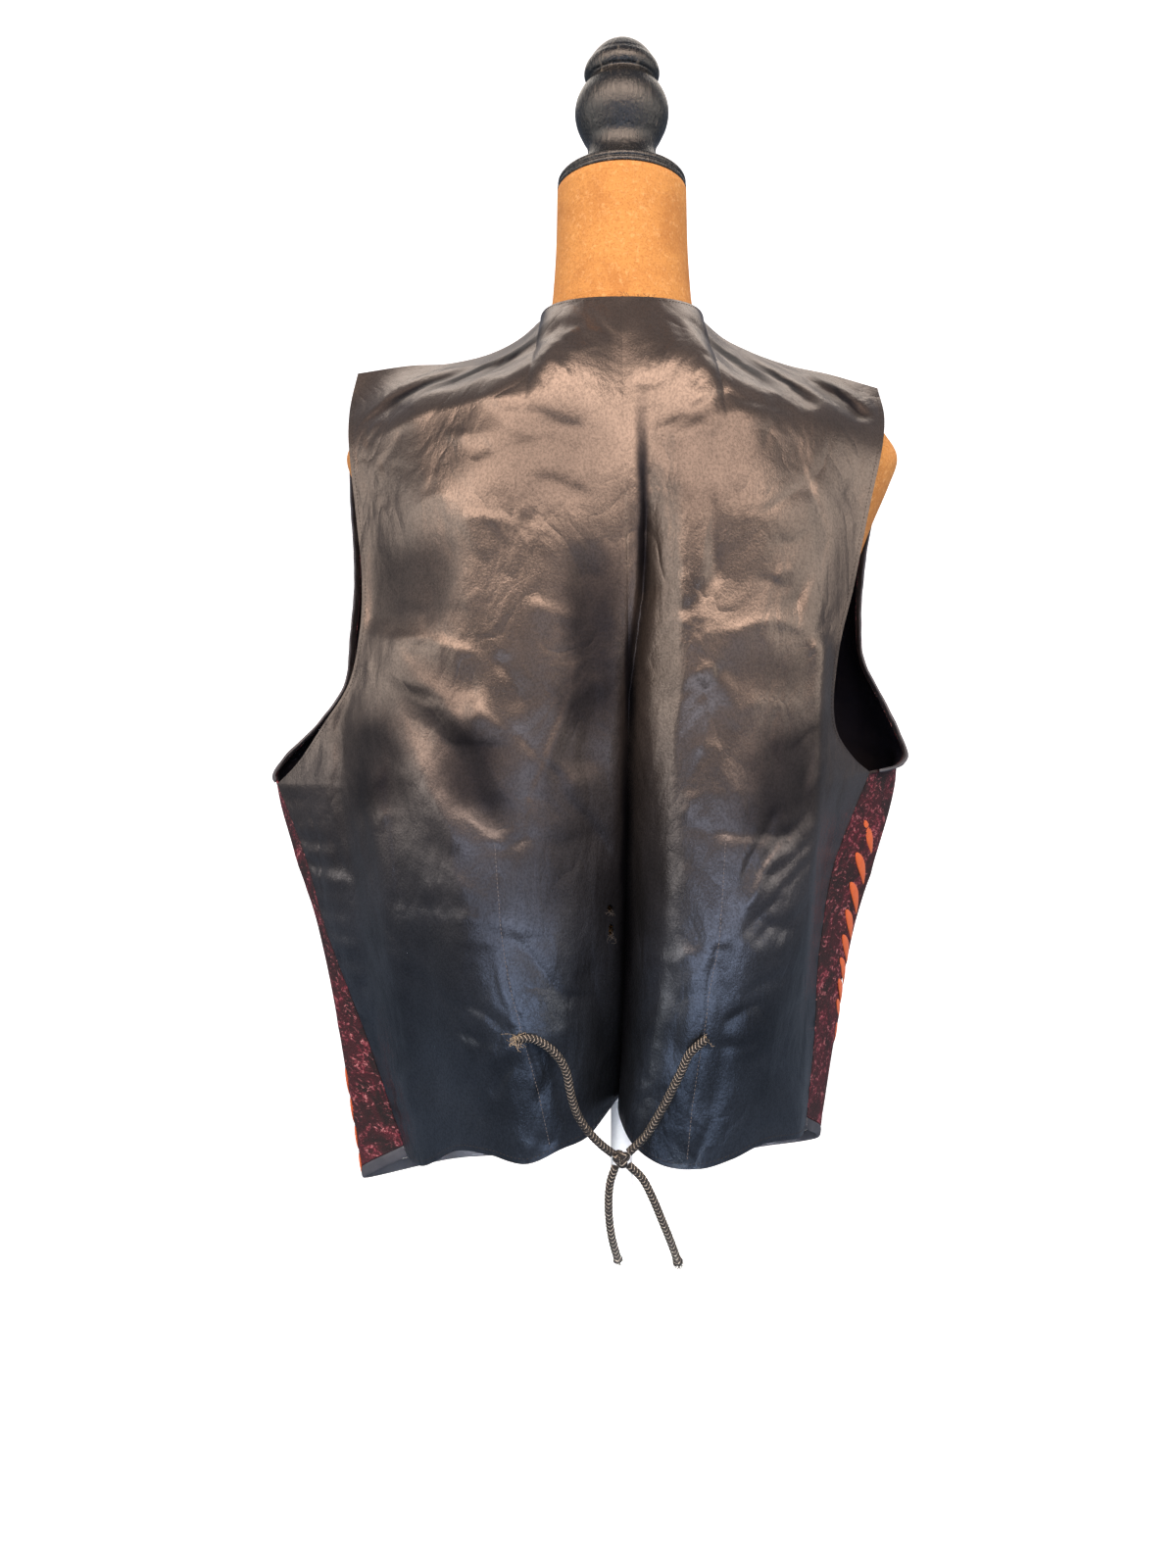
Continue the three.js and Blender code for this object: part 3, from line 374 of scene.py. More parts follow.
# Creases in the satin, as lines seen from the back: how wide the crease is to the left and to the
# right of its direction, its depth (a ridge is below 0), and its points
CREASES = {
    LEFT: [
        (3, 8, 1.8, [(-30, 1162), (-20, 1146), (-10, 1128)]),
        (3, 7, 1.6, [(-44, 1156), (-36, 1140), (-30, 1118)]),
        (6, 3, 1.6, [(-58, 1150), (-50, 1128), (-48, 1100)]),
        (3, 14, 1.1, [(-110, 1082), (-86, 1074), (-63, 1070), (-41, 1062), (-16, 1054)]),
        (16, 5, -2.4, [(-205, 1062), (-180, 1072), (-140, 1080), (-100, 1086), (-60, 1084)]),
        (3, 9, -1.8, [(-196, 912), (-163, 907), (-134, 902), (-97, 890)]),
        (2.5, 6, 1.6, [(-86, 622), (-104, 634), (-126, 640)]),
        (2.5, 6, 1.4, [(-84, 614), (-106, 612), (-132, 618)]),
        (2.5, 6, 1.4, [(-80, 608), (-92, 588), (-98, 566)]),
        (2.5, 7, 2.6, [(-36, 900), (-43, 885), (-50, 849), (-60, 818), (-72, 785), (-78, 755), (-80, 730)]),
        (3, 9, -1.6, [(-30, 896), (-40, 880), (-47, 848), (-57, 818), (-69, 785)]),
        (3, 12, 2, [(-58, 820), (-46, 800), (-38, 785), (-20, 760), (-1, 730)]),
        (3, 10, 1.8, [(-92, 708), (-69, 676), (-45, 645), (-7, 632)]),
        (9, 16, 3, [(-142, 730), (-146, 660), (-142, 600), (-136, 532)]),
        (14, 8, -2.4, [(-120, 740), (-117, 650), (-110, 560)]),
        (4, 9, 2, [(-30, 700), (-22, 640), (-16, 600), (-14, 560)]),
        (5, 12, 3, [(-196, 872), (-203, 820), (-198, 760), (-188, 690), (-186, 620)]),
        (10, 4, 2.4, [(-168, 862), (-176, 800), (-172, 730), (-176, 670)]),
        (4, 8, 2.4, [(-214, 850), (-222, 800), (-216, 740), (-206, 690)]),
        (8, 4, 2, [(-236, 800), (-230, 750), (-222, 700), (-216, 640)]),
        (3, 6, 1.8, [(-206, 700), (-196, 650), (-200, 600), (-190, 540)]),
        (3, 6, 1.6, [(-180, 640), (-172, 590), (-176, 545)]),
        (3, 7, 1.4, [(-196, 1040), (-176, 1058), (-160, 1082)]),
        (3, 7, 1.2, [(-202, 1062), (-186, 1080), (-176, 1094)]),
        (3, 8, 1.2, [(-96, 900), (-84, 878), (-74, 850)]),
        (5, 12, 1.6, [(-100, 690), (-92, 650), (-82, 600)]),
        (3, 8, 1.4, [(-66, 560), (-60, 590), (-66, 620)]),
        (8, 14, 2.6, [(-112, 690), (-114, 630), (-110, 570), (-104, 536)]),
        (12, 6, 2.4, [(-160, 700), (-162, 630), (-158, 570), (-154, 530)]),
        (4, 3, 2.2, [(-196, 1098), (-160, 1112), (-118, 1128)]),
        (4, 3, 2.2, [(-148, 1104), (-116, 1118), (-84, 1136)]),
    ],
    RIGHT: [
        (9, 14, -3, [(30, 700), (34, 800), (40, 900), (40, 1000), (32, 1066)]),
        (2.5, 6, 1.6, [(64, 624), (84, 636), (106, 640)]),
        (2.5, 6, 1.4, [(62, 612), (84, 608), (104, 614)]),
        (3, 7, 1.6, [(22, 1162), (26, 1140), (28, 1112)]),
        (3, 6, 1.4, [(36, 1160), (40, 1140), (42, 1126)]),
        (3, 9, 1.8, [(38, 1068), (62, 1080), (84, 1090)]),
        (8, 3, 1.8, [(66, 1096), (84, 1082), (104, 1078), (140, 1086)]),
        (3, 7, -0.8, [(58, 903), (90, 914), (120, 918), (150, 908)]),
        (3, 8, 1.8, [(128, 1046), (140, 1010), (150, 985), (142, 950)]),
        (3, 6, 2, [(86, 726), (108, 756), (142, 786)]),
        (3, 6, 2, [(92, 722), (118, 744), (150, 768)]),
        (3, 6, 1.8, [(82, 686), (94, 702), (114, 720)]),
        (3, 6, 1.5, [(90, 680), (104, 694), (128, 706)]),
        (3, 10, 1.8, [(144, 748), (111, 760), (83, 762), (41, 768)]),
        (3, 9, 1.6, [(46, 800), (58, 830), (62, 872)]),
        (2.5, 6, 2, [(98, 700), (112, 724), (130, 740), (150, 750)]),
        (2.5, 5, -1.8, [(80, 700), (100, 738), (128, 768)]),
        (2.5, 5, 2, [(74, 716), (86, 742), (104, 772), (118, 790)]),
        (2.5, 6, 1.6, [(108, 680), (122, 700), (146, 716)]),
        (3, 8, 1.6, [(80, 640), (96, 652), (124, 660), (142, 656)]),
        (3, 8, 1.4, [(70, 600), (92, 596), (120, 606), (136, 600)]),
        (10, 14, 2.6, [(100, 700), (104, 620), (98, 545)]),
        (4, 9, 2.2, [(146, 690), (142, 620), (130, 556)]),
        (4, 7, 2.6, [(160, 860), (152, 806), (160, 750)]),
        (4, 7, 2.4, [(176, 822), (166, 780), (170, 736)]),
        (3, 6, 1.8, [(142, 842), (134, 800), (140, 760)]),
        (3, 8, 1.4, [(58, 1020), (66, 950), (60, 928)]),
        (3, 8, 1.2, [(108, 860), (104, 830), (112, 800)]),
        (5, 12, 1.6, [(30, 700), (36, 640), (30, 580)]),
        (8, 12, 2.6, [(66, 700), (70, 640), (66, 580), (60, 532)]),
        (10, 6, 2.2, [(124, 700), (120, 640), (112, 580), (104, 540)]),
        (3, 4, 2.2, [(92, 1144), (118, 1122), (150, 1096)]),
        (3, 4, 2.2, [(148, 1128), (176, 1108), (198, 1082)]),
    ],
}

# The deep fold beside the centre seam, which both halves share
CENTRE_FOLD = [
    (2.6, 7, 16, [(-2, 540), (-1.2, 600), (0, 660), (1.5, 740), (2, 800), (3, 866), (8, 906),
                  (13, 946), (15, 1000), (14, 1050), (11, 1084)]),
]

# Patches of painted shade on the satin, as seen from the back: the base colour goes dark where folds, faces
# tilted from the lights and the deep fold beside the centre seam would be in shade, and the same patches are
# rougher, so duller
DULL_PAINTED_SHADE = table("x z half_width half_height slope share", [
    (-158, 948, 56, 50, 0, 0.85), (-138, 876, 44, 24, -0.2, 0.45), (-24, 900, 40, 108, 0, 1),
    (-34, 770, 52, 112, 0, 0.65), (106, 950, 36, 30, 0, 0.2), (104, 880, 44, 26, 0, 0.5),
    (-165, 1111, 46, 8, 0.5, 1.1), (-120, 1120, 44, 6, 0.45, 1.1), (-82, 1136, 36, 9, 0.7, 1.1),
    (88, 1130, 38, 10, -0.85, 1.1), (126, 1116, 34, 8, -0.85, 1.1), (176, 1108, 28, 8, -0.9, 1.1),
    (-130, 836, 58, 15, -0.8, 0.9), (168, 900, 22, 120, 0, 0.35), (-120, 700, 40, 110, 0, 0.3),
    (-190, 818, 48, 60, 0.2, 1), (-112, 812, 46, 54, -0.6, 1), (116, 806, 52, 60, 0.3, 1),
    (-50, 1035, 74, 60, 0, 0.3), (62, 1035, 62, 60, 0, 0.36), (12, 1000, 7, 100, 0, 1.1),
    (3, 880, 8, 66, 0, 1.1), (1, 720, 7, 190, 0, 1.1),
])

# Flat faces pressed or pulled into the satin. Each falls away from its first line at one slope and
# comes back to its second line at another; it lies to the right of the first line's direction
FACES = {
    LEFT: [
        (0.26, 0.14, [(-192, 890), (-160, 874), (-138, 863), (-106, 827), (-88, 797), (-70, 780)],
         [(-192, 890), (-164, 846), (-147, 808), (-131, 772), (-126, 740), (-118, 712)]),
        (0.07, 0.26, [(-212, 986), (-163, 986), (-136, 983), (-106, 968)],
         [(-212, 916), (-163, 909), (-134, 904), (-92, 890)]),
        (0.1, 0.16, [(-200, 906), (-160, 899), (-134, 893), (-98, 880)],
         [(-196, 888), (-150, 866), (-122, 842), (-94, 806)]),
        (0.12, 0.24, [(-62, 800), (-56, 850), (-54, 910), (-58, 976)],
         [(-12, 800), (-10, 850), (-8, 910), (-10, 976)]),
        (0.5, 0.36, [(-214, 1084), (-179, 1115), (-149, 1129), (-112, 1138)],
         [(-214, 1084), (-180, 1080), (-157, 1093), (-133, 1107), (-102, 1122)]),
        (0.5, 0.36, [(-162, 1096), (-141, 1116), (-98, 1135), (-76, 1144)],
         [(-162, 1096), (-128, 1097), (-94, 1113), (-68, 1128)]),
        (0.5, 0.36, [(-121, 1107), (-102, 1129), (-66, 1147), (-46, 1164)],
         [(-121, 1107), (-90, 1102), (-62, 1117), (-34, 1146)]),
    ],
    RIGHT: [
        (0.04, 0.07, [(56, 996), (90, 990), (120, 994), (156, 980)],
         [(52, 906), (84, 914), (118, 920), (158, 912)]),
        (0.05, 0.07, [(60, 896), (90, 905), (120, 902), (150, 906)],
         [(66, 846), (92, 858), (124, 856), (148, 868)]),
        (0.5, 0.36, [(50, 1168), (86, 1135), (104, 1121), (124, 1107)],
         [(42, 1150), (66, 1111), (88, 1097), (118, 1085)]),
        (0.5, 0.36, [(92, 1152), (124, 1125), (157, 1094)],
         [(84, 1136), (104, 1101), (150, 1073)]),
        (0.5, 0.36, [(146, 1136), (182, 1113), (202, 1088)],
         [(138, 1120), (164, 1091), (198, 1065)]),
    ],
}

# Seams sewn into each half of the back, from the waist to the hem
DART_SEAMS = {
    LEFT: [(-95, 757), (-92, 715), (-88, 678), (-81, 642), (-75, 618), (-63, 571), (-56, 536)],
    RIGHT: [(71, 764), (68, 716), (66, 685), (60, 654), (55, 618), (50, 587), (44, 527)],
}


# Curves and surfaces

def smooth(places, values, at):
    """Smooth curve through values[k] at places[k], read at each of at."""
    values = np.broadcast_to(values, (len(places), len(at), values.shape[-1]))
    span = np.diff(places)[:, None, None]
    slope = np.diff(values, axis=0) / span
    inner = (slope[:-1] * span[1:] + slope[1:] * span[:-1]) / (span[:-1] + span[1:])
    tangent = np.concatenate([slope[:1], inner, slope[-1:]])
    i = np.clip(np.searchsorted(places, at) - 1, 0, len(places) - 2)
    n = np.arange(len(at))
    step = span[i, 0]
    t = ((at - places[i]) / step[:, 0])[:, None]
    return (
        (2 * t**3 - 3 * t**2 + 1) * values[i, n]
        + (t**3 - 2 * t**2 + t) * step * tangent[i, n]
        + (3 * t**2 - 2 * t**3) * values[i + 1, n]
        + (t**3 - t**2) * step * tangent[i + 1, n]
    )


def along(rows, at, place, columns):
    """The named columns of a table, at places along another column."""
    values = np.stack([rows[name] for name in columns.split()], axis=-1)[:, None, :]
    return smooth(rows[at], values, np.asarray(place, float))


def side_line(rows, at, place, side):
    """Points on a line that is tabled by its distance out from the middle."""
    return along(rows, at, place, "out y z") * np.array([side, 1, 1])


def smooth_step(low, high, value):
    """0 below low, 1 above high and smooth between them."""
    t = np.clip((np.asarray(value, float) - low) / (high - low), 0, 1)
    return t * t * (3 - 2 * t)


def between(rise, fall, value):
    """1 between two soft borders, each given by where it starts and ends, and 0 outside them."""
    return smooth_step(*rise, value) * (1 - smooth_step(*fall, value))


def seam_or_armhole(armhole, side, v):
    """Outer edge of a panel: the side seam, and the armhole above it."""
    seam = side_line(SIDE_SEAM[side], "v", np.minimum(v, UNDERARM_V), side)
    hole = side_line(armhole[side], "v", np.maximum(v, UNDERARM_V), side)
    return np.where((v <= UNDERARM_V)[:, None], seam, hole)


def back_row(side, u, v):
    """Half of the back before its top and its hem are drawn to their lines."""
    rails = [
        along(CENTRE_BACK, "v", v, "x y z"),
        side_line(INNER_BACK[side], "v", v, side),
        side_line(OUTER_BACK[side], "v", v, side),
        seam_or_armhole(BACK_ARMHOLE, side, v),
    ]
    return smooth(BACK_STATIONS, np.stack(rails), u)


def back_top(side, u):
    """Neckline up to the neck point, and the shoulder seam past it."""
    turn = np.minimum(u / NECK_POINT_U, 1) * math.pi / 2
    out, y = SHOULDER_SEAM[side]["out"][0], SHOULDER_SEAM[side]["y"][0]
    neck = np.stack([
        NAPE[0] * (1 - np.minimum(u / NECK_POINT_U, 1)) + side * out * np.sin(turn),
        NAPE[1] * np.cos(turn) + y * np.sin(turn),
        NAPE[2] + NECK_RISE * np.sin(turn) ** 2,
    ], axis=-1)
    share = np.clip((u - NECK_POINT_U) / (1 - NECK_POINT_U), 0, 1)
    shoulder = side_line(SHOULDER_SEAM[side], "t", share, side)
    return np.where((u <= NECK_POINT_U)[:, None], neck, shoulder)


def beside_line(points, x, z):
    """Distance from a line of points, above 0 on its left, and the share of its length there."""
    points = np.array(points, float)
    steps = np.diff(points, axis=0)
    lengths = np.hypot(*steps.T)
    start = np.concatenate([[0], np.cumsum(lengths)])
    best, share, hand = np.full(len(x), 1e9), np.zeros(len(x)), np.ones(len(x))
    for k, (dx, dz) in enumerate(steps):
        from_x, from_z = x - points[k, 0], z - points[k, 1]
        t = np.clip((from_x * dx + from_z * dz) / lengths[k] ** 2, 0, 1)
        far = np.hypot(from_x - t * dx, from_z - t * dz)
        nearer = far < best
        best[nearer] = far[nearer]
        share[nearer] = (start[k] + t * lengths[k])[nearer] / start[-1]
        hand[nearer] = np.where(dx * from_z - dz * from_x > 0, 1, -1)[nearer]
    return best * hand, share


def folds(side, x, z):
    """Depth of the largest folds, which the CAD model has too."""
    depth = np.zeros(len(x))
    for fold, x1, z1, x2, z2, width, deep in zip(*FOLDS.values()):
        if fold == side:
            far, _ = beside_line([(x1, z1), (x2, z2)], x, z)
            depth += deep * np.exp(-((far / width) ** 2))
    return depth


def creases(rows, x, z):
    """Depth of creases that are sharp along their lines and soften to each side."""
    depth = np.zeros(len(x))
    for left, right, deep, points in rows:
        far, share = beside_line(points, x, z)
        far = far / np.where(far > 0, left, right)
        ridge = np.exp(CREASE_ROUNDING - np.hypot(far, CREASE_ROUNDING))
        depth += deep * between((0, 0.3), (0.7, 1), share) * ridge
    return depth


def faces(rows, x, z):
    """Depth of the flat faces; each ends in an edge at both of its lines."""
    depth = np.zeros(len(x))
    for slope, back, first, second in rows:
        from_first, share = beside_line(first, x, z)
        from_second, _ = beside_line(second, x, z)
        taper = between((0, 0.12), (0.85, 1), share)
        fall, rise = slope * np.maximum(-from_first, 0), back * np.maximum(from_second, 0)
        soft = -FACE_SOFTNESS * np.log(np.exp(-fall / FACE_SOFTNESS) + np.exp(-rise / FACE_SOFTNESS))
        depth += taper * np.maximum(soft, 0)
    return depth


def drape(side, x, z):
    """Gentle unevenness of the hanging cloth."""
    random = np.random.default_rng(40 + side)
    depth = np.zeros(len(x))
    for _ in range(DRAPE_WAVES):
        turn, length, phase = random.normal(0, 0.35), random.uniform(*DRAPE_LENGTHS), random.uniform(0, 6)
        run = x * math.cos(turn) + z * math.sin(turn)
        depth += np.sin(run * TURN / length + phase + 0.8 * np.sin(x / 31 + phase)) * length
    return depth * DRAPE


def small_creases(count, seed, low, high, tilt, deep):
    """Scattered faint creases between two corners, most of them near one tilt."""
    random = np.random.default_rng(seed)
    rows = []
    for _ in range(count):
        x, z = random.uniform(low, high)
        turn = math.radians(random.normal(tilt, CREASE_TILT))
        reach = random.uniform(*CREASE_REACH)
        bend = random.uniform(*CREASE_BEND)
        step = np.array([math.cos(turn), math.sin(turn)]) * reach
        middle = (x - step[1] / reach * bend, z + step[0] / reach * bend)
        line = [(x - step[0], z - step[1]), middle, (x + step[0], z + step[1])]
        left, right = random.uniform(*CREASE_LEFT), random.uniform(*CREASE_RIGHT)
        rows.append((left, right, random.uniform(-deep, deep), line))
    return rows


def back_surface(side):
    """Smooth surface of half of the back, with its largest folds."""
    def surface(u, v):
        point = back_row(side, u, v)
        top, hem = smooth_step(*TOP_BLEND, v)[:, None], 1 - smooth_step(*HEM_BLEND, v)[:, None]
        point = point + top * (back_top(side, u) - back_row(side, u, np.ones_like(v)))
        edge = side_line(BACK_HEM[side], "u", u, side)
        point = point + hem * (edge - back_row(side, u, np.zeros_like(v)))
        point[:, 1] += folds(side, point[:, 0], point[:, 2]) * away_from_edges(u, v)
        return point

    return surface


def away_from_edges(u, v):
    """0 at the edges of half of the back, where no crease reaches, and 1 inside."""
    return between((0, 0.05), (0.93, 1), u) * (1 - smooth_step(0.95, 1, v))


def centre_seam(side, v, off):
    """Depth beside the centre seam, which stands proud in the yoke and is turned in below it."""
    depth = -YOKE_SLOPE * between((0.7, 0.78), (0.94, 1), v) * (np.hypot(off, YOKE_ROUNDING) - off)
    if side == RIGHT:
        depth -= SEAM_LAP * (1 - smooth_step(1, 4, off))
    return depth + SEAM_TURN * (1 - smooth_step(0, 1.3, off)) * (1 - smooth_step(0.72, 0.8, v))


def wandering(x, z):
    """The same place moved a little, so that no crease runs straight."""
    return (
        x + WANDER * (np.sin(z / 21 + 1) + 0.5 * np.sin(z / 7.3)),
        z + WANDER * (np.sin(x / 19) + 0.5 * np.sin(x / 6.7 + 2)),
    )


def ruffle(u, v, z):
    """Small waves beside the side seam, below the arm."""
    wave = np.sin(z / 5.2 + 2 * np.sin(z / 17)) + 0.6 * np.sin(z / 2.9)
    below_arm = between((0.01, 0.05), (0.36, 0.42), v)
    return RUFFLE * wave * between((0.86, 0.97), (0.985, 1), u) * below_arm


def satin_surface(side):
    """Surface of half of the back with all of its creases."""
    low, high = sorted([side * 10, side * 230])
    scattered = small_creases(
        BACK_CREASES, seed=11 + side, low=(low, 530), high=(high, 1140), tilt=25 * side, deep=1.2)
    rows = CREASES[side] + scattered
    rows += [(1.6, 1.6, 1.3, DART_SEAMS[side]), (6, 6, -0.9, DART_SEAMS[side])]

    def surface(u, v):
        point = BACKS[side](u, v)
        x, z = point[:, 0], point[:, 2]
        off = abs(x - along(CENTRE_BACK, "v", v, "x")[:, 0])
        at = wandering(x, z)
        inner = creases(rows, *at) + faces(FACES[side], *at) + drape(side, x, z)
        seams = creases(CENTRE_FOLD, x, z) + centre_seam(side, v, off) + ruffle(u, v, z)
        point[:, 1] += inner * away_from_edges(u, v) + seams
        return point

    return surface


def front_row(side, u, v):
    """A front before its top is drawn to the shoulder seam."""
    edge = side_line(FRONT_EDGE, "v", v, side)
    if side == RIGHT:
        edge[:, 1] -= UNDERLAP * (1 - smooth_step(*UNDERLAP_BLEND, v))
    rails = [
        seam_or_armhole(FRONT_ARMHOLE, side, v),
        side_line(SIDE_FRONT[side], "v", v, side),
        side_line(CHEST_FRONT[side], "v", v, side),
        edge,
    ]
    return smooth(FRONT_STATIONS, np.stack(rails), u)


def front_surface(side):
    """Smooth surface of one front, up to the seam on the shoulder."""
    def surface(u, v):
        top = smooth_step(*TOP_BLEND, v)[:, None]
        seam = side_line(SHOULDER_SEAM[side], "t", 1 - u, side)
        return front_row(side, u, v) + top * (seam - front_row(side, u, np.ones_like(v)))

    return surface


BACKS = {side: back_surface(side) for side in SIDES}
FRONTS = {side: front_surface(side) for side in SIDES}


def steps_of(surface, u, v):
    """How far the surface goes for each unit of u and of v."""
    u0, u1 = np.maximum(u - NUDGE, 0), np.minimum(u + NUDGE, 1)
    v0, v1 = np.maximum(v - NUDGE, 0), np.minimum(v + NUDGE, 1)
    along_u = (surface(u1, v) - surface(u0, v)) / (u1 - u0)[:, None]
    along_v = (surface(u, v1) - surface(u, v0)) / (v1 - v0)[:, None]
    return along_u, along_v


def normal_of(surface, side, u, v):
    """Direction out of the cloth, away from the bust."""
    normal = np.cross(*steps_of(surface, u, v)) * side
    return normal / np.linalg.norm(normal, axis=1, keepdims=True)


def share_of_u(surface, u, v, length):
    """How much of u a length takes there."""
    return length / np.linalg.norm(steps_of(surface, u, v)[0], axis=1)


def share_of_v(surface, u, v, length):
    """How much of v a length takes there."""
    return length / np.linalg.norm(steps_of(surface, u, v)[1], axis=1)


def read_along(function, places):
    """function(places), from its values at a short even row of places."""
    row = np.linspace(0, 1, ROW_PLACES)
    return np.interp(places, row, function(row))


def inset_u(surface, edge, v, length):
    """Share of u that covers a length beside the edge where u is 0 or 1, at each of v."""
    return read_along(lambda row: share_of_u(surface, np.full_like(row, edge), row, length), v)


def inset_v(surface, u, edge, length):
    """Share of v that covers a length beside the edge where v is 0 or 1, at each of u."""
    return read_along(lambda row: share_of_v(surface, row, np.full_like(row, edge), length), u)


def velvet_start(side, v):
    """Where the velvet starts at the side: at the seam, and past the binding on the armhole."""
    bound = smooth_step(UNDERARM_V, UNDERARM_V + 0.02, v)
    length = SEAM_GAP / 2 + bound * BINDING_WIDTH
    return length * inset_u(FRONTS[side], 0, v, 1)


def velvet_domain(side, s, t):
    """Cloth of a front between its bindings."""
    surface = FRONTS[side]
    bottom = inset_v(surface, s, 0, HEM_BINDING_WIDTH)
    top = 1 - inset_v(surface, s, 1, SEAM_GAP / 2)
    v = bottom + t * (top - bottom)
    high = 1 - inset_u(surface, 1, v, BINDING_WIDTH)
    low = velvet_start(side, v)
    return low + s * (high - low), v


# Meshes

def grid(bm, cells, place, merge=True):
    """Grid whose corners go to place(s, t), in millimetres, joined up where they meet."""
    made = bmesh.ops.create_grid(bm, x_segments=cells[0], y_segments=cells[1], size=0.5)["verts"]
    flat = np.array([v.co[:2] for v in made])
    flat = (flat - flat.min(0)) / (flat.max(0) - flat.min(0))
    points = place(flat[:, 0], flat[:, 1])
    layer = bm.loops.layers.uv.verify()
    for vert, point, uv in zip(made, points * MM, flat):
        vert.co = point
        for loop in vert.link_loops:
            loop[layer].uv = uv
    if merge:
        bmesh.ops.remove_doubles(bm, verts=made, dist=MEETING)


def loft(bm, centres, sides, section, caps=True):
    """Closed skin round a line of centres; section(turn, share) gives its two half sizes there."""
    centres = np.array(centres, float)
    tangent = np.gradient(centres, axis=0)
    tangent /= np.linalg.norm(tangent, axis=1, keepdims=True)
    normal = np.cross(tangent[0], (0, 1, 0.01))
    normals = []
    for direction in tangent:
        normal = normal - direction * np.dot(normal, direction)
        normal /= np.linalg.norm(normal)
        normals.append(normal)
    normals = np.array(normals)
    across = np.cross(tangent, normals)
    cap = 1 if caps else 0
    rings = len(centres) + 2 * cap

    def place(s, t):
        row = np.rint(t * (rings - 1)).astype(int) - cap
        inside = (row >= 0) & (row < len(centres))
        row = np.clip(row, 0, len(centres) - 1)
        turn = s * TURN
        wide, high = section(turn, row / (len(centres) - 1))
        offset = (wide * np.cos(turn))[:, None] * normals[row]
        offset += (high * np.sin(turn))[:, None] * across[row]
        return centres[row] + offset * inside[:, None]

    grid(bm, (sides, rings - 1), place)


def curve(points, spacing):
    """Smooth line through points, with places about that far apart."""
    points = np.array(points, float)
    gaps = np.linalg.norm(np.diff(points, axis=0), axis=1)
    places = np.concatenate([[0], np.cumsum(gaps**0.5)])
    count = max(3, int(round(gaps.sum() / spacing)) + 1)
    fine = smooth(places, points[:, None, :], np.linspace(0, places[-1], count * 4))
    length = np.concatenate([[0], np.cumsum(np.linalg.norm(np.diff(fine, axis=0), axis=1))])
    even = np.linspace(0, length[-1], count)
    return np.stack([np.interp(even, length, fine[:, k]) for k in range(3)], axis=-1)


def line_length(points):
    return float(np.linalg.norm(np.diff(points, axis=0), axis=1).sum())


def turned(bm, rows, sides, rings):
    """Solid turned about the Z axis from points (r, z), rounded between them."""
    points = np.array(rows, float)
    gaps = np.linalg.norm(np.diff(points, axis=0), axis=1)
    places = np.concatenate([[0], np.cumsum(gaps)])

    def place(s, t):
        at = t * places[-1]
        k = np.clip(np.searchsorted(places, at) - 1, 0, len(points) - 2)
        low, high = np.minimum(points[:-1], points[1:])[k], np.maximum(points[:-1], points[1:])[k]
        r, z = np.clip(smooth(places, points[:, None, :], at), low, high).T
        r = np.where((t < END) | (t > 1 - END), 0, r)
        return np.stack([r * np.cos(s * TURN), r * np.sin(s * TURN), z], axis=-1)

    grid(bm, (sides, rings), place)


def object_of(bm, name, materials):
    """Smooth object from a mesh, which is used up."""
    mesh = bpy.data.meshes.new(name)
    for face in bm.faces:
        face.smooth = True
    bm.to_mesh(mesh)
    bm.free()
    made = bpy.data.objects.new(name, mesh)
    bpy.context.scene.collection.objects.link(made)
    for material in materials:
        mesh.materials.append(material)
    return made


def finished(bm, name, materials, nodes=(), closed=True):
    """Object from a mesh, riding on the CAD model's body and standing for these CAD nodes."""
    if closed:
        bmesh.ops.recalc_face_normals(bm, faces=bm.faces)
    piece = object_of(bm, name, materials)
    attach(piece, "root")
    if nodes:
        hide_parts(*nodes)
    return piece


# Materials

class Wire:
    """Output of a shader node, so that maths on it reads as Python expressions."""

    def __init__(self, shader, socket):
        self.shader = shader
        self.socket = socket

    def maths(self, operation, *values):
        inputs = dict(enumerate(values))
        return self.shader.node("ShaderNodeMath", {"operation": operation}, inputs)

    def __add__(self, other):
        return self.maths("ADD", self, other)

    def __radd__(self, other):
        return self.maths("ADD", other, self)

    def __sub__(self, other):
        return self.maths("SUBTRACT", self, other)

    def __rsub__(self, other):
        return self.maths("SUBTRACT", other, self)

    def __mul__(self, other):
        return self.maths("MULTIPLY", self, other)

    def __rmul__(self, other):
        return self.maths("MULTIPLY", other, self)

    def __truediv__(self, other):
        return self.maths("DIVIDE", self, other)

    def __gt__(self, other):
        return self.maths("GREATER_THAN", self, other)

    def cos(self):
        return self.maths("COSINE", self)

    def absolute(self):
        return self.maths("ABSOLUTE", self)

    def modulo(self, other):
        return self.maths("FLOORED_MODULO", self, other)

    def step(self, low, high):
        """0 below low, 1 above high and smooth between them."""
        settings = {"interpolation_type": "SMOOTHSTEP"}
        values = {"Value": self, "From Min": low, "From Max": high}
        return self.shader.node("ShaderNodeMapRange", settings, values)


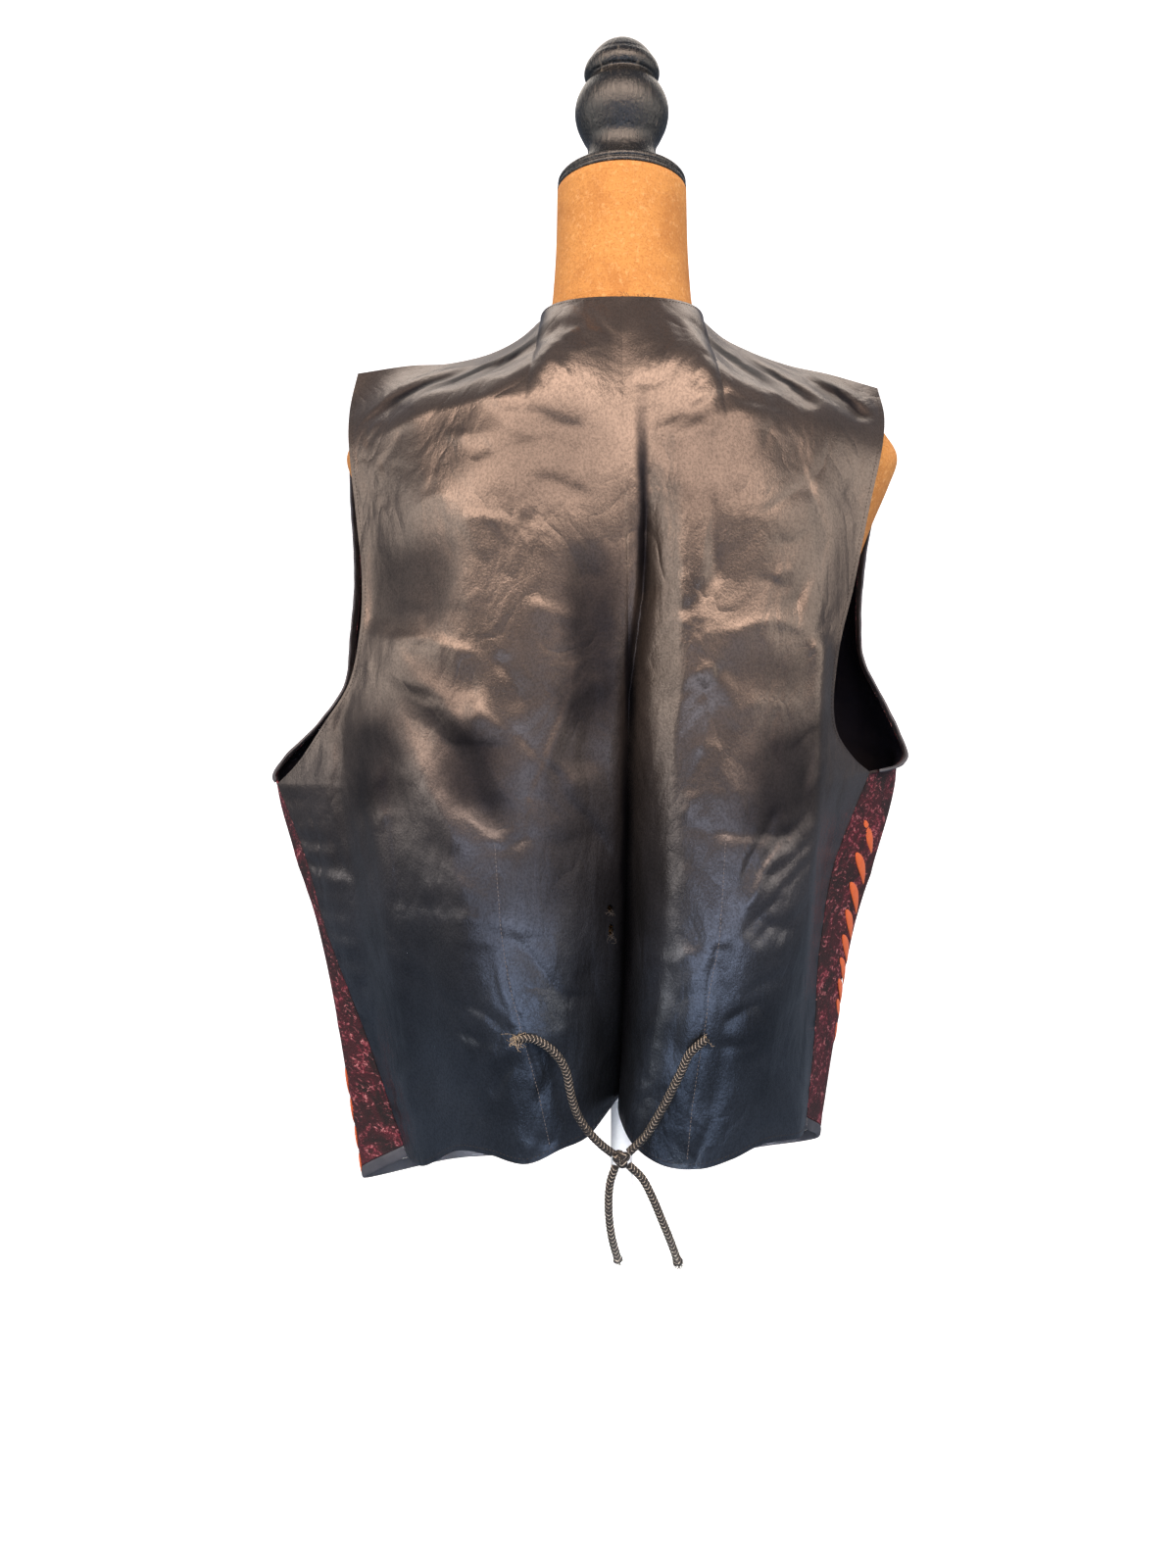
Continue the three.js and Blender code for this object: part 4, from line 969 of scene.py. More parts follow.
class Shader:
    """Material with one Principled shader, built from wires."""

    def __init__(self, name, **constants):
        self.material = bpy.data.materials.new(name)
        self.material.use_nodes = True
        self.tree = self.material.node_tree
        self.principled = self.tree.nodes["Principled BSDF"]
        # A constant such as specular_ior_level goes to the socket Specular IOR Level
        for key, value in constants.items():
            self.put(key.replace("_", " ").title().replace("Ior", "IOR"), value)

    def put(self, name, value):
        """Sets one of the shader's own sockets."""
        self.fill(self.principled.inputs[name], value)

    def fill(self, target, value):
        if isinstance(value, Wire):
            self.tree.links.new(value.socket, target)
        elif target.type == "RGBA":
            target.default_value = (*value[:3], 1)
        else:
            target.default_value = value

    def node(self, kind, settings=None, inputs=None, output=0):
        node = self.tree.nodes.new(kind)
        for name, value in (settings or {}).items():
            setattr(node, name, value)
        for name, value in (inputs or {}).items():
            self.fill(node.inputs[name], value)
        return Wire(self, node.outputs[output])

    def place(self, scale=(1, 1, 1), uv=False):
        """Object coordinates in metres, or UV, scaled along each axis."""
        where = self.node("ShaderNodeTexCoord", output="UV" if uv else "Object")
        return self.node("ShaderNodeVectorMath", {"operation": "MULTIPLY"}, {0: where, 1: scale})

    def axis(self, vector, name):
        return self.node("ShaderNodeSeparateXYZ", inputs={0: vector}, output=name)

    def noise(self, vector, scale, detail=2, roughness=0.5, distortion=0):
        values = {"Vector": vector, "Scale": scale, "Detail": detail, "Roughness": roughness,
                  "Distortion": distortion}
        return self.node("ShaderNodeTexNoise", inputs=values)

    def mix(self, share, first, second):
        """Colour between two, by a share from 0 to 1."""
        values = {0: share, 6: first, 7: second}
        return self.node("ShaderNodeMix", {"data_type": "RGBA"}, values, output=2)

    def bump(self, height, distance, strength=1):
        values = {"Height": height, "Distance": distance, "Strength": strength}
        self.put("Normal", self.node("ShaderNodeBump", inputs=values))


def colour(text):
    """Linear colour from six hex digits."""
    shares = [int(text[k:k + 2], 16) / 255 for k in (0, 2, 4)]
    return tuple(s / 12.92 if s < 0.04045 else ((s + 0.055) / 1.055) ** 2.4 for s in shares)


def satin_material(settings):
    """Dark back satin with a grainy sheen; its colour has painted light, bluer towards the hem and warmer
    and paler towards the shoulders, and patches of painted shade.
    """
    shader = Shader("back_satin", metallic=0.8, specular_ior_level=0.6)
    where = shader.place()
    wander = shader.noise(where, 24, 3, 0.6) * 0.03 - 0.015
    x, z = shader.axis(where, "X"), shader.axis(where, "Z")
    # Painted shade: a mask of dark patches for the base colour, which also makes them rougher
    dull_painted_shade = 0
    for at_x, at_z, half_width, half_height, slope, share in zip(*DULL_PAINTED_SHADE.values()):
        wild = min(1, half_width / 24, half_height / 24)
        beside = x + wander * wild - at_x * MM
        across = beside / (half_width * MM)
        up = (z + wander * wild - at_z * MM - beside * slope) / (half_height * MM)
        inside = (1 - across.absolute().step(0.15, 1.1)) * (1 - up.absolute().step(0.3, 1.05))
        dull_painted_shade = (inside * share).maths("MAXIMUM", inside * share, dull_painted_shade)
    # Painted light: the base colour is warmer and paler higher up and bluer towards the hem, standing in for
    # warm light from above and cool light from below
    low = z.step(0.58, 0.9)
    base = shader.mix(low, settings.satin_low, settings.satin_high)
    cloud = shader.noise(where, 9, 3, 0.6).step(0.35, 0.7)
    grain = shader.noise(shader.place((1, 1, 0.8)), 640, 2, 0.7)
    base = shader.mix(cloud * (0.5 - low * 0.25), base, (0, 0, 0))
    # Painted shade: the base colour goes dark in the patches
    base = shader.mix(dull_painted_shade * 0.88, base, settings.satin_painted_shade)
    shader.put("Base Color", shader.mix(grain.step(0.38, 0.66) * 0.3, base, (0, 0, 0)))
    shader.put("Roughness", shader.noise(where, 30, 2) * 0.1 + grain * 0.1 + dull_painted_shade * 0.25 + 0.2)
    puckers = shader.noise(shader.place((1, 1, 0.35)), 62, 4, 0.6) * (1.4 - low)
    crisp = (shader.noise(shader.place((1, 1, 0.6)), 19, 3, 0.5, 0.5) - 0.5).absolute()
    shader.bump(puckers * 0.7 + crisp * 4 + grain * 0.18, 0.0015, 0.7)
    return shader.material


def lining_material():
    """Dark lining inside the fronts and the back."""
    shader = Shader("lining_satin", metallic=0.3, specular_ior_level=0.5)
    where = shader.place()
    streak = shader.noise(shader.place((30, 30, 8)), 1, 3)
    shader.put("Base Color", shader.mix(streak, colour("07080f"), colour("1a1d2c")))
    shader.put("Roughness", shader.noise(where, 40) * 0.2 + 0.35)
    shader.bump(shader.noise(where, 60, 3), 0.001, 0.5)
    return shader.material


def velvet_material(settings):
    """Crushed velvet: dark pile with paler streaks where it lies another way, their sheen painted into the
    colour, and painted pale highlights on their crests.
    """
    shader = Shader("crushed_velvet", sheen_weight=0.12, sheen_roughness=0.4, sheen_tint=colour("a03048"))
    where = shader.place((1, 1, 1.3))
    broad = shader.noise(where, 26, 4, 0.6, 1.2)
    streak = shader.noise(shader.place((1, 1, 1.9)), 85, 5, 0.66, 1.6)
    fine = shader.noise(shader.place((1, 1, 1.6)), 260, 3, 0.7, 0.8)
    speck = shader.noise(where, 900, 2)
    # Painted sheen: the lit streaks of the crushed pile, and painted pale highlights on their crests
    lit = (streak * 0.5 + broad * 0.25 + fine * 0.25).step(0.51, 0.6)
    crest = (streak * 0.45 + fine * 0.35 + speck * 0.2).step(0.53, 0.62)
    base = shader.mix(broad.step(0.38, 0.6), settings.velvet_dark, settings.velvet)
    base = shader.mix(lit * 0.85, base, settings.velvet_lit)
    shader.put("Base Color", shader.mix(crest * lit * 0.8, base, settings.velvet_crest_highlight))
    shader.put("Roughness", speck * 0.2 + 0.6 - lit * 0.25)
    shader.bump(streak * 0.5 + fine * 0.3 + speck * 0.2, 0.003, 0.8)
    return shader.material


def binding_material(settings):
    """Charcoal satin of the bindings."""
    shader = Shader("binding_satin", metallic=0.35)
    where = shader.place()
    weave = shader.noise(shader.place((900, 900, 900)), 1, 1)
    shader.put("Base Color", shader.mix(shader.noise(where, 55, 3), settings.binding_dark, settings.binding))
    shader.put("Roughness", shader.noise(where, 80) * 0.2 + weave * 0.1 + 0.36)
    shader.bump(shader.noise(where, 160, 3) * 0.8 + weave * 0.2, 0.0008, 0.6)
    return shader.material


def braid_material(settings):
    """Braid with one fleck of a paler strand in each turn, put only on the strand's crests, so partly a
    painted glint; the UV runs round and along the cord.
    """
    shader = Shader("tie_braid", sheen_weight=0.04)
    uv = shader.place(uv=True)
    around = shader.axis(uv, "X") * BRAID_STRANDS
    onward = shader.axis(uv, "Y") * BRAID_TURNS
    rising = ((around + onward) * TURN).cos()
    falling = ((around - onward) * TURN).cos()
    left_hand = around.modulo(2) > 1
    crest = left_hand * rising + (1 - left_hand) * falling
    # Pale flecks on the crests of one hand of strands: a paler strand, with painted glints where its crests
    # would catch light
    pale = crest.step(0.8, 0.97)
    fibre = shader.noise(shader.place(), 1500, 2)
    dark = shader.mix(fibre, settings.cord_dark, settings.cord)
    shader.put("Base Color", shader.mix(pale * fibre.step(0.4, 0.52) * 0.9, dark, settings.cord_fleck_glint))
    shader.put("Roughness", fibre * 0.25 + 0.5)
    shader.bump(fibre, 0.0004, 0.6)
    return shader.material


def loose_thread(name, dark, light):
    """Dull thread for stitches and frayed ends."""
    shader = Shader(name, roughness=0.75)
    fibre = shader.noise(shader.place(), 1300, 2)
    shader.put("Base Color", shader.mix(fibre, dark, light))
    shader.bump(fibre, 0.0003, 0.5)
    return shader.material


def suede_material(settings):
    """Short napped suede, brushed lighter and darker in patches."""
    shader = Shader("suede", roughness=0.95, sheen_weight=0.25, sheen_roughness=0.5,
                    sheen_tint=colour("e0a070"))
    where = shader.place()
    brushed = shader.noise(where, 22, 5, 0.6, 0.6)
    nap = shader.noise(where, 620, 3, 0.7)
    grain = shader.noise(where, 240, 3, 0.6)
    base = shader.mix(brushed.step(0.25, 0.6) * 0.7 + 0.3, settings.suede_dark, settings.suede)
    base = shader.mix(grain.step(0.5, 0.72) * 0.4, base, settings.suede_light)
    shader.put("Base Color", shader.mix(nap.step(0.46, 0.64) * 0.6, base, settings.suede_dark))
    shader.bump(nap * 0.6 + grain * 0.4, 0.0011, 0.9)
    return shader.material


def wood_material(settings):
    """Black painted turned wood, rubbed thin along its grain."""
    shader = Shader("black_wood", specular_ior_level=0.75)
    grain = shader.noise(shader.place((330, 330, 26)), 1, 4, 0.6, 0.4)
    rub = shader.noise(shader.place((1, 1, 1)), 38, 4, 0.6)
    scuff = grain.step(0.56, 0.72) * rub.step(0.42, 0.62)
    shader.put("Base Color", shader.mix(scuff * 0.7, settings.wood, settings.wood_rubbed))
    pits = shader.noise(shader.place(), 520, 3, 0.7)
    shader.put("Roughness", 0.2 + grain * 0.14 + scuff * 0.1)
    shader.bump(grain * 0.6 + pits * 0.4, 0.0017, 0.8)
    return shader.material


def stand_paint():
    """Pale paint on the stand."""
    shader = Shader("stand_paint", specular_ior_level=0.4)
    speck = shader.noise(shader.place(), 300, 3)
    shader.put("Base Color", shader.mix(speck, colour("eeeeee"), colour("fcfcfc")))
    shader.put("Roughness", speck * 0.15 + 0.4)
    shader.bump(speck, 0.0003, 0.3)
    return shader.material


def button_material():
    """Dark horn with a faint swirl."""
    shader = Shader("button_horn", coat_weight=0.3, coat_roughness=0.2)
    swirl = shader.noise(shader.place(), 210, 4, 0.6, 1.5)
    shader.put("Base Color", shader.mix(swirl, colour("080707"), colour("2a211c")))
    shader.put("Roughness", swirl * 0.2 + 0.22)
    shader.bump(swirl, 0.0002, 0.3)
    return shader.material


def embroidery_material(name, dark, light):
    """Embroidery thread, its strands lying across the UV's first axis."""
    shader = Shader(name, roughness=0.5, sheen_weight=0.15)
    strands = shader.noise(shader.place((2, 90, 1), uv=True), 1, 2)
    shader.put("Base Color", shader.mix(strands, dark, light))
    shader.bump(strands, 0.0006, 0.8)
    return shader.material


# Settings, shown in the sidebar

def length_setting(name, description, default):
    return bpy.props.FloatProperty(
        name=name, description=description, default=default, min=0, unit="LENGTH", precision=4)


def colour_setting(name, description, digits):
    return bpy.props.FloatVectorProperty(
        name=name, description=description, default=colour(digits), size=3, min=0, max=1,
        subtype="COLOR")


def count_setting(name, description, default):
    return bpy.props.IntProperty(name=name, description=description, default=default, min=1)


class StageSettings(bpy.types.PropertyGroup):
    floor: colour_setting("Floor", "Colour of the floor and backdrop", "fafafa")
    key: colour_setting("Key light", "Colour of the light from above", "ffe4cf")
    fill: colour_setting("Low light", "Colour of the light from below", "bcc8de")
    room: length_setting("Room", "Half the width of the floor", 4)
    distance: length_setting("Camera distance", "From the middle of the form to the camera", 0.97)
    height: length_setting("Camera height", "Above the floor", 0.8)


class ClothSettings(bpy.types.PropertyGroup):
    back_across: count_setting("Back cells across", "Cells across half of the back", 140)
    back_up: count_setting("Back cells up", "Cells from the hem to the shoulder", 250)
    front_across: count_setting("Front cells across", "Cells across one front", 110)
    front_up: count_setting("Front cells up", "Cells from the hem to the shoulder", 210)
    # Painted light: these two satin colours, warmer high up and bluer low down, stand in for the warm key
    # light and the cool low light
    satin_low: colour_setting("Satin, low", "Back satin near the hem", "4c545f")
    satin_high: colour_setting("Satin, high", "Back satin near the shoulders", "6c625c")
    # Painted shade: the dark colour of the shaded patches on the satin
    satin_painted_shade: colour_setting("Satin, painted shade", "Back satin in painted shade", "14131a")
    velvet: colour_setting("Velvet", "Middle tone of the velvet", "340713")
    velvet_dark: colour_setting("Velvet, dark", "Velvet whose pile lies down", "0e0206")
    # Painted sheen and painted highlights of the crushed velvet; its streaked pattern is the velvet's own
    velvet_lit: colour_setting("Velvet, lit", "Velvet whose pile stands up, its sheen painted in", "8a2038")
    velvet_crest_highlight: colour_setting("Velvet, crest highlight", "Painted highlights along the wrinkles", "c89090")
    binding: colour_setting("Binding", "Satin binding", "62646c")
    binding_dark: colour_setting("Binding, dark", "Darker binding satin, in random patches", "2a2b32")
    embroidery: colour_setting("Embroidery", "Raised leaves", "f07020")
    embroidery_dark: colour_setting("Embroidery, dark", "Between strands of the leaves", "b84408")


class CordSettings(bpy.types.PropertyGroup):
    radius: length_setting("Radius", "Radius of the tie cord", 0.003)
    cord: colour_setting("Cord", "Dark strands", "161617")
    cord_dark: colour_setting("Cord, dark", "Between the strands", "060607")
    # Pale strand, painted as glints on the braid's crests
    cord_fleck_glint: colour_setting("Cord, fleck", "Pale strand, with painted glints on its crests", "c6bcae")


class FormSettings(bpy.types.PropertyGroup):
    suede: colour_setting("Suede", "Middle tone of the suede", "bd8748")
    suede_dark: colour_setting("Suede, dark", "Suede brushed down", "9a6430")
    suede_light: colour_setting("Suede, light", "Suede brushed up", "dcb078")
    wood: colour_setting("Wood", "Black paint", "0c0b0b")
    wood_rubbed: colour_setting("Wood, rubbed", "Where the paint has worn", "8c8478")
    pole: length_setting("Pole radius", "Radius of the stand's pole", 0.009)
    base: length_setting("Base radius", "Radius of the stand's base", 0.165)
    base_height: length_setting("Base height", "Height of the stand's base", 0.02)


# Stage

def area_light(name, at, towards, size, watts, tint, spread=180):
    """Light that faces a place, all in metres, with its spread in degrees."""
    data = bpy.data.lights.new(name, "AREA")
    data.shape = "RECTANGLE"
    data.size, data.size_y = size
    data.energy = watts
    data.color = tint
    data.spread = math.radians(spread)
    light = bpy.data.objects.new(name, data)
    light.location = at
    light.rotation_euler = (Vector(towards) - Vector(at)).to_track_quat("-Z", "Y").to_euler()
    bpy.context.scene.collection.objects.link(light)


def add_camera(scene, settings):
    """Camera behind the waistcoat, level with its middle."""
    data = bpy.data.cameras.new("camera")
    data.sensor_fit = "VERTICAL"
    data.sensor_height = SENSOR_HEIGHT
    data.lens = LENS
    camera = bpy.data.objects.new("camera", data)
    camera.location = (CAMERA_X, -settings.distance, settings.height)
    camera.rotation_euler = (math.pi / 2, 0, 0)
    scene.collection.objects.link(camera)
    scene.camera = camera


def add_floor(settings):
    """Floor that curves up into a backdrop and lights nothing."""
    half = settings.room / MM

    def sweep(s, t):
        run = t * 3
        turn = np.clip(run - 1, 0, 1) * math.pi / 2
        flat = np.where(run < 1, -half + run * (half + BACKDROP_DISTANCE), BACKDROP_DISTANCE)
        y = flat + BACKDROP_BEND * np.sin(turn)
        z = BACKDROP_BEND * (1 - np.cos(turn)) + np.maximum(run - 2, 0) * half
        return np.stack([(s * 2 - 1) * half, y, z], axis=-1)

    shader = Shader("floor", roughness=0.9, base_color=settings.floor, emission_strength=0.9)
    shader.put("Emission Color", tuple(settings.floor))
    bm = bmesh.new()
    grid(bm, (2, 60), sweep)
    floor = object_of(bm, "floor", [shader.material])
    floor.visible_glossy = False
    floor.visible_diffuse = False


def light_room(scene, settings):
    """Lights, and a weak bluish room round them."""
    world = bpy.data.worlds.new("room")
    world.use_nodes = True
    background = world.node_tree.nodes["Background"].inputs
    background["Color"].default_value = (0.62, 0.72, 0.9, 1)
    background["Strength"].default_value = 0.27
    scene.world = world
    area_light("key", (-0.1, -1.7, 2.18), (0, -0.1, 0.95), (5.0, 1.2), 138, settings.key)
    area_light("top", (0, 0.8, 2.3), (0, 0, 1.1), (1.8, 0.7), 7.5, (1, 0.88, 0.76))
    area_light("low", (0.2, -2.2, 0.22), (0, -0.1, 0.6), (3.6, 0.6), 28, settings.fill)
    area_light("left", (-2.3, -0.7, 1.3), (0, 0, 0.95), (2.0, 1.5), 22, (1, 0.93, 0.84))
    area_light("right", (2.3, -0.7, 1.4), (0, 0, 0.95), (2.0, 1.5), 20, (1, 0.91, 0.8))
    area_light("stand", (0, -1.3, 0.1), (0, 0, 0.2), (0.3, 0.2), 7, (1, 1, 1), 24)


class WAISTCOAT_OT_stage(bpy.types.Operator):
    """Camera, floor and lights"""
    bl_idname = "waistcoat.stage"
    bl_label = "Stage"

    def execute(self, context):
        settings = context.scene.waistcoat_stage
        add_camera(context.scene, settings)
        add_floor(settings)
        context.scene.view_settings.view_transform = "Standard"
        light_room(context.scene, settings)
        return {"FINISHED"}


# Tie cords

def cord_points(name):
    """Centreline of a cord, in short even steps."""
    rows = CORD_ROUTES[name]
    return curve(np.stack([rows["x"], rows["y"], rows["z"]], axis=-1), CORD_RING)


def braid(turn, onward):
    """Relief of the strands, which wind both ways, at a turn round the cord and turns along it."""
    around = turn / TURN * BRAID_STRANDS
    return np.maximum(np.cos((around + onward) * TURN), np.cos((around - onward) * TURN))


def stretch_uv(bm, turns):
    """Sets how many turns of the braid the UV takes along the cord."""
    layer = bm.loops.layers.uv.verify()
    for face in bm.faces:
        for loop in face.loops:
            loop[layer].uv[1] *= turns / BRAID_TURNS


def braided_cord(name, radius, material):
    """Cord along its route; a free end is a little frayed, so wider."""
    points = cord_points(name)
    turns = line_length(points) / BRAID_PITCH
    flare = TAIL_FLARE if "tail" in name else 0

    def section(turn, share):
        reach = radius * (BRAID_CORE + BRAID_RELIEF * braid(turn, share * turns))
        reach = reach * (1 + flare * smooth_step(0.93, 0.99, share))
        return reach, reach

    bm = bmesh.new()
    loft(bm, points, 32, section)
    stretch_uv(bm, turns)
    return finished(bm, "braided_" + name, [material], [name])


def braided_knot(material):
    """Overhand knot, as a closed trefoil."""
    turn = np.linspace(0, TURN, KNOT_RINGS)
    trefoil = np.stack([
        KNOT_SIZE * (np.sin(turn) + 2 * np.sin(2 * turn)),
        KNOT_DEPTH * np.sin(3 * turn),
        KNOT_SIZE * (np.cos(turn) - 2 * np.cos(2 * turn)),
    ], axis=-1)

    def section(turn, share):
        reach = KNOT_RADIUS * (BRAID_CORE + KNOT_RELIEF * braid(turn, share * KNOT_TURNS))
        return reach, reach

    bm = bmesh.new()
    loft(bm, trefoil + KNOT, 32, section, caps=False)
    stretch_uv(bm, KNOT_TURNS)
    return finished(bm, "braided_knot", [material], ["cord_knot"], closed=False)


class WAISTCOAT_OT_cords(bpy.types.Operator):
    """The tie: two cords to a knot, and its two hanging ends"""
    bl_idname = "waistcoat.cords"
    bl_label = "Tie cords"

    def execute(self, context):
        settings = context.scene.waistcoat_cord
        material = braid_material(settings)
        for name in CORD_ROUTES:
            braided_cord(name, settings.radius / MM, material)
        braided_knot(material)
        for name in CORD_ROUTES:
            points = cord_points(name)
        return {"FINISHED"}


# Cloth

def cloth(name, place, cells, thickness, side, materials, node, cut=None):
    """Panel of cloth with its thickness, and its lining where there are two materials."""
    bm = bmesh.new()
    grid(bm, cells, place, merge=False)
    if side == LEFT:
        bmesh.ops.reverse_faces(bm, faces=bm.faces)
    if cut:
        cut(bm)
    for edge in bm.edges:
        edge.smooth = not edge.is_boundary
    piece = finished(bm, name, materials, [node], closed=False)
    solid = piece.modifiers.new("thickness", "SOLIDIFY")
    solid.thickness = thickness * MM
    solid.offset = 0
    if len(materials) > 1:
        solid.material_offset = 1
    return piece


def cut_rips(bm):
    """Cuts the rips through, with a ragged edge, in cells made finer round them."""
    random = np.random.default_rng(5)
    for x, z, half_width, half_height in zip(*RIPS.values()):
        def away(co):
            return math.hypot((co.x / MM - x) / half_width, (co.z / MM - z) / half_height)

        near = [e for e in bm.edges if min(away(v.co) for v in e.verts) < RIP_FINE]
        bmesh.ops.subdivide_edges(bm, edges=near, cuts=4, use_grid_fill=True)
        gone = [f for f in bm.faces
                if away(f.calc_center_median()) < 0.95 + random.uniform(-0.18, 0.12)]
        bmesh.ops.delete(bm, geom=gone, context="FACES")


class WAISTCOAT_OT_backs(bpy.types.Operator):
    """Both halves of the satin back"""
    bl_idname = "waistcoat.backs"
    bl_label = "Satin back"

    def execute(self, context):
        settings = context.scene.waistcoat_cloth
        materials = [satin_material(settings), lining_material()]
        cells = (settings.back_across, settings.back_up)
        for side, word in SIDES.items():
            surface, satin = BACKS[side], satin_surface(side)

            def place(s, t):
                v = t * (1 - inset_v(surface, s, 1, SEAM_GAP / 2))
                low = -inset_u(surface, 0, v, CENTRE_OVERLAP)
                high = 1 - inset_u(surface, 1, v, SEAM_GAP / 2)
                return satin(low + s * (high - low), v)

            cloth("satin_back_" + word, place, cells, SATIN, side, materials,
                  "back_" + word, cut_rips if side == LEFT else None)
        return {"FINISHED"}


class WAISTCOAT_OT_fronts(bpy.types.Operator):
    """Both velvet fronts"""
    bl_idname = "waistcoat.fronts"
    bl_label = "Velvet fronts"

    def execute(self, context):
        settings = context.scene.waistcoat_cloth
        materials = [velvet_material(settings), bpy.data.materials["lining_satin"]]
        cells = (settings.front_across, settings.front_up)
        for side, word in SIDES.items():
            surface = FRONTS[side]
            rows = small_creases(
                FRONT_CREASES, seed=31 + side, low=(0, 460), high=(300, 1130), tilt=4, deep=1.1)

            def place(s, t):
                u, v = velvet_domain(side, s, t)
                point = surface(u, v)
                depth = creases(rows, abs(point[:, 0]), point[:, 2])
                fade = between((0, 0.05), (0.95, 1), s) * between((0, 0.03), (0.97, 1), t)
                return point + normal_of(surface, side, u, v) * (depth * fade)[:, None]

            cloth("velvet_front_" + word, place, cells, VELVET, side, materials,
                  "front_" + word)
        return {"FINISHED"}


def squared(value, power):
    """Sine or cosine pushed out towards -1 and 1 by a power below 1, and in by one above 1."""
    return np.sign(value) * abs(value) ** power


def binding(name, side, place, count, node, material):
    """Soft folded strip; place(across, along) gives u and v for shares from 0 to 1."""
    surface = FRONTS[side]
    t = np.linspace(0, 1, count)
    u, v = place(np.full(count, 0.5), t)
    ends = [surface(*place(np.full(count, share), t)) for share in (0.0, 1.0)]
    across = (ends[1] - ends[0]) / 2
    middle = (ends[1] + ends[0]) / 2
    normal = normal_of(surface, side, u, v)
    random = np.random.default_rng(len(name))
    phase = random.uniform(0, 6, 3)
    length = line_length(middle)

    def skin(s, t):
        row = np.clip(np.rint(t * (count + 1)).astype(int) - 1, 0, count - 1)
        inside = (t > END) & (t < 1 - END)
        turn = s * TURN
        run = row / count * length
        crumple = np.sin(run / 3.1 + phase[0] + 2 * turn) + np.sin(run / 7.3 + phase[1] - turn)
        wide = squared(np.cos(turn), BINDING_SQUARE[0]) * (0.97 + 0.02 * np.sin(run / 11 + phase[2]))
        high = squared(np.sin(turn), BINDING_SQUARE[1]) * (BINDING_THICKNESS / 2 + CRUMPLE * crumple)
        offset = across[row] * wide[:, None] + normal[row] * high[:, None]
        return middle[row] + offset * inside[:, None]

    bm = bmesh.new()
    grid(bm, (28, count + 1), skin)
    return finished(bm, name, [material], [node])


class WAISTCOAT_OT_bindings(bpy.types.Operator):
    """Satin bindings round the fronts"""
    bl_idname = "waistcoat.bindings"
    bl_label = "Bindings"

    def execute(self, context):
        material = binding_material(context.scene.waistcoat_cloth)
        for side, word in SIDES.items():
            surface = FRONTS[side]

            def armhole(share, t):
                low = UNDERARM_V + BINDING_START
                v = low + t * (BINDING_TOP - low)
                gap = share_of_u(surface, np.zeros_like(v), v, ARMHOLE_BINDING_GAP)
                return share * (velvet_start(side, v) - gap), v

            def edge(share, t):
                v = t * BINDING_TOP
                width = share_of_u(surface, np.ones_like(v), v, BINDING_WIDTH - SEAM_GAP)
                return 1 - (1 - share) * width, v

            def hem(share, t):
                low = velvet_start(side, np.zeros(1))[0]
                u = low + t * (HEM_BINDING_END - low)
                width = share_of_v(surface, u, np.zeros_like(u), HEM_BINDING_WIDTH - SEAM_GAP)
                return u, share * width

            binding("bound_armhole_" + word, side, armhole, 420, "armhole_binding_" + word, material)
            binding("bound_edge_" + word, side, edge, 620, "edge_binding_" + word, material)
            binding("bound_hem_" + word, side, hem, 240, "hem_binding_" + word, material)
        return {"FINISHED"}


# Leaves, stitches and threads

def leaf_on(side, start, end):
    """Skin of one raised leaf, whose stalk and tip are at these u and v of a front."""
    surface = FRONTS[side]
    start, end = np.array(start, float), np.array(end, float)
    middle = (start + end) / 2
    along_u, along_v = steps_of(surface, middle[:1], middle[1:])
    line = (end - start)[0] * along_u[0] + (end - start)[1] * along_v[0]
    length = np.linalg.norm(line)
    square = np.cross(normal_of(surface, side, middle[:1], middle[1:])[0], line / length)
    step = np.linalg.lstsq(np.stack([along_u[0], along_v[0]], axis=-1), square, rcond=None)[0]

    def leaf(s, t):
        turn = s * TURN
        taper = np.sin(np.clip(t, 0, 1) * math.pi) ** 0.6 * (1 - 0.25 * t)
        across = LEAF_WIDTH / 2 * taper * np.cos(turn) + LEAF_BEND * np.sin(t * math.pi)
        at = np.clip(start + t[:, None] * (end - start) + across[:, None] * step, NUDGE, 1 - NUDGE)
        ridge = 1 + 0.08 * np.sin(t * length / LEAF_STRAND)
        lift = VELVET / 2 + LEAF_SEAT + LEAF_RISE * np.sin(turn) * taper * ridge
        point = surface(at[:, 0], at[:, 1])
        return point + normal_of(surface, side, at[:, 0], at[:, 1]) * lift[:, None]

    return leaf


class WAISTCOAT_OT_embroidery(bpy.types.Operator):
    """Raised leaves in a row up each front"""
    bl_idname = "waistcoat.embroidery"
    bl_label = "Embroidery"

    def execute(self, context):
        settings = context.scene.waistcoat_cloth
        material = embroidery_material("leaf_thread", settings.embroidery_dark, settings.embroidery)
        for side, word in SIDES.items():
            bm = bmesh.new()
            for start, end in LEAVES[side]:
                grid(bm, (20, 60), leaf_on(side, start, end))
            finished(bm, "leaves_" + word, [material])
        return {"FINISHED"}


def wisps(bm, at, count, reach, spread, radius, seed, pull=(0, -0.6, -0.3)):
    """Loose thread ends that leave a point in different directions."""
    random = np.random.default_rng(seed)
    for _ in range(count):
        start = np.array(at, float) + random.normal(0, spread, 3) * (1, 0.25, 1)
        away = random.normal(0, 1, 3) * (1, 0.35, 1) + pull
        away *= random.uniform(0.5, 1) * reach / np.linalg.norm(away)
        curl = random.normal(0, 0.22, 3) * reach
        points = curve([start, start + away * 0.5 + curl, start + away], reach / 9)
        loft(bm, points, 5, lambda turn, share: (radius * (1 - 0.5 * share),) * 2)


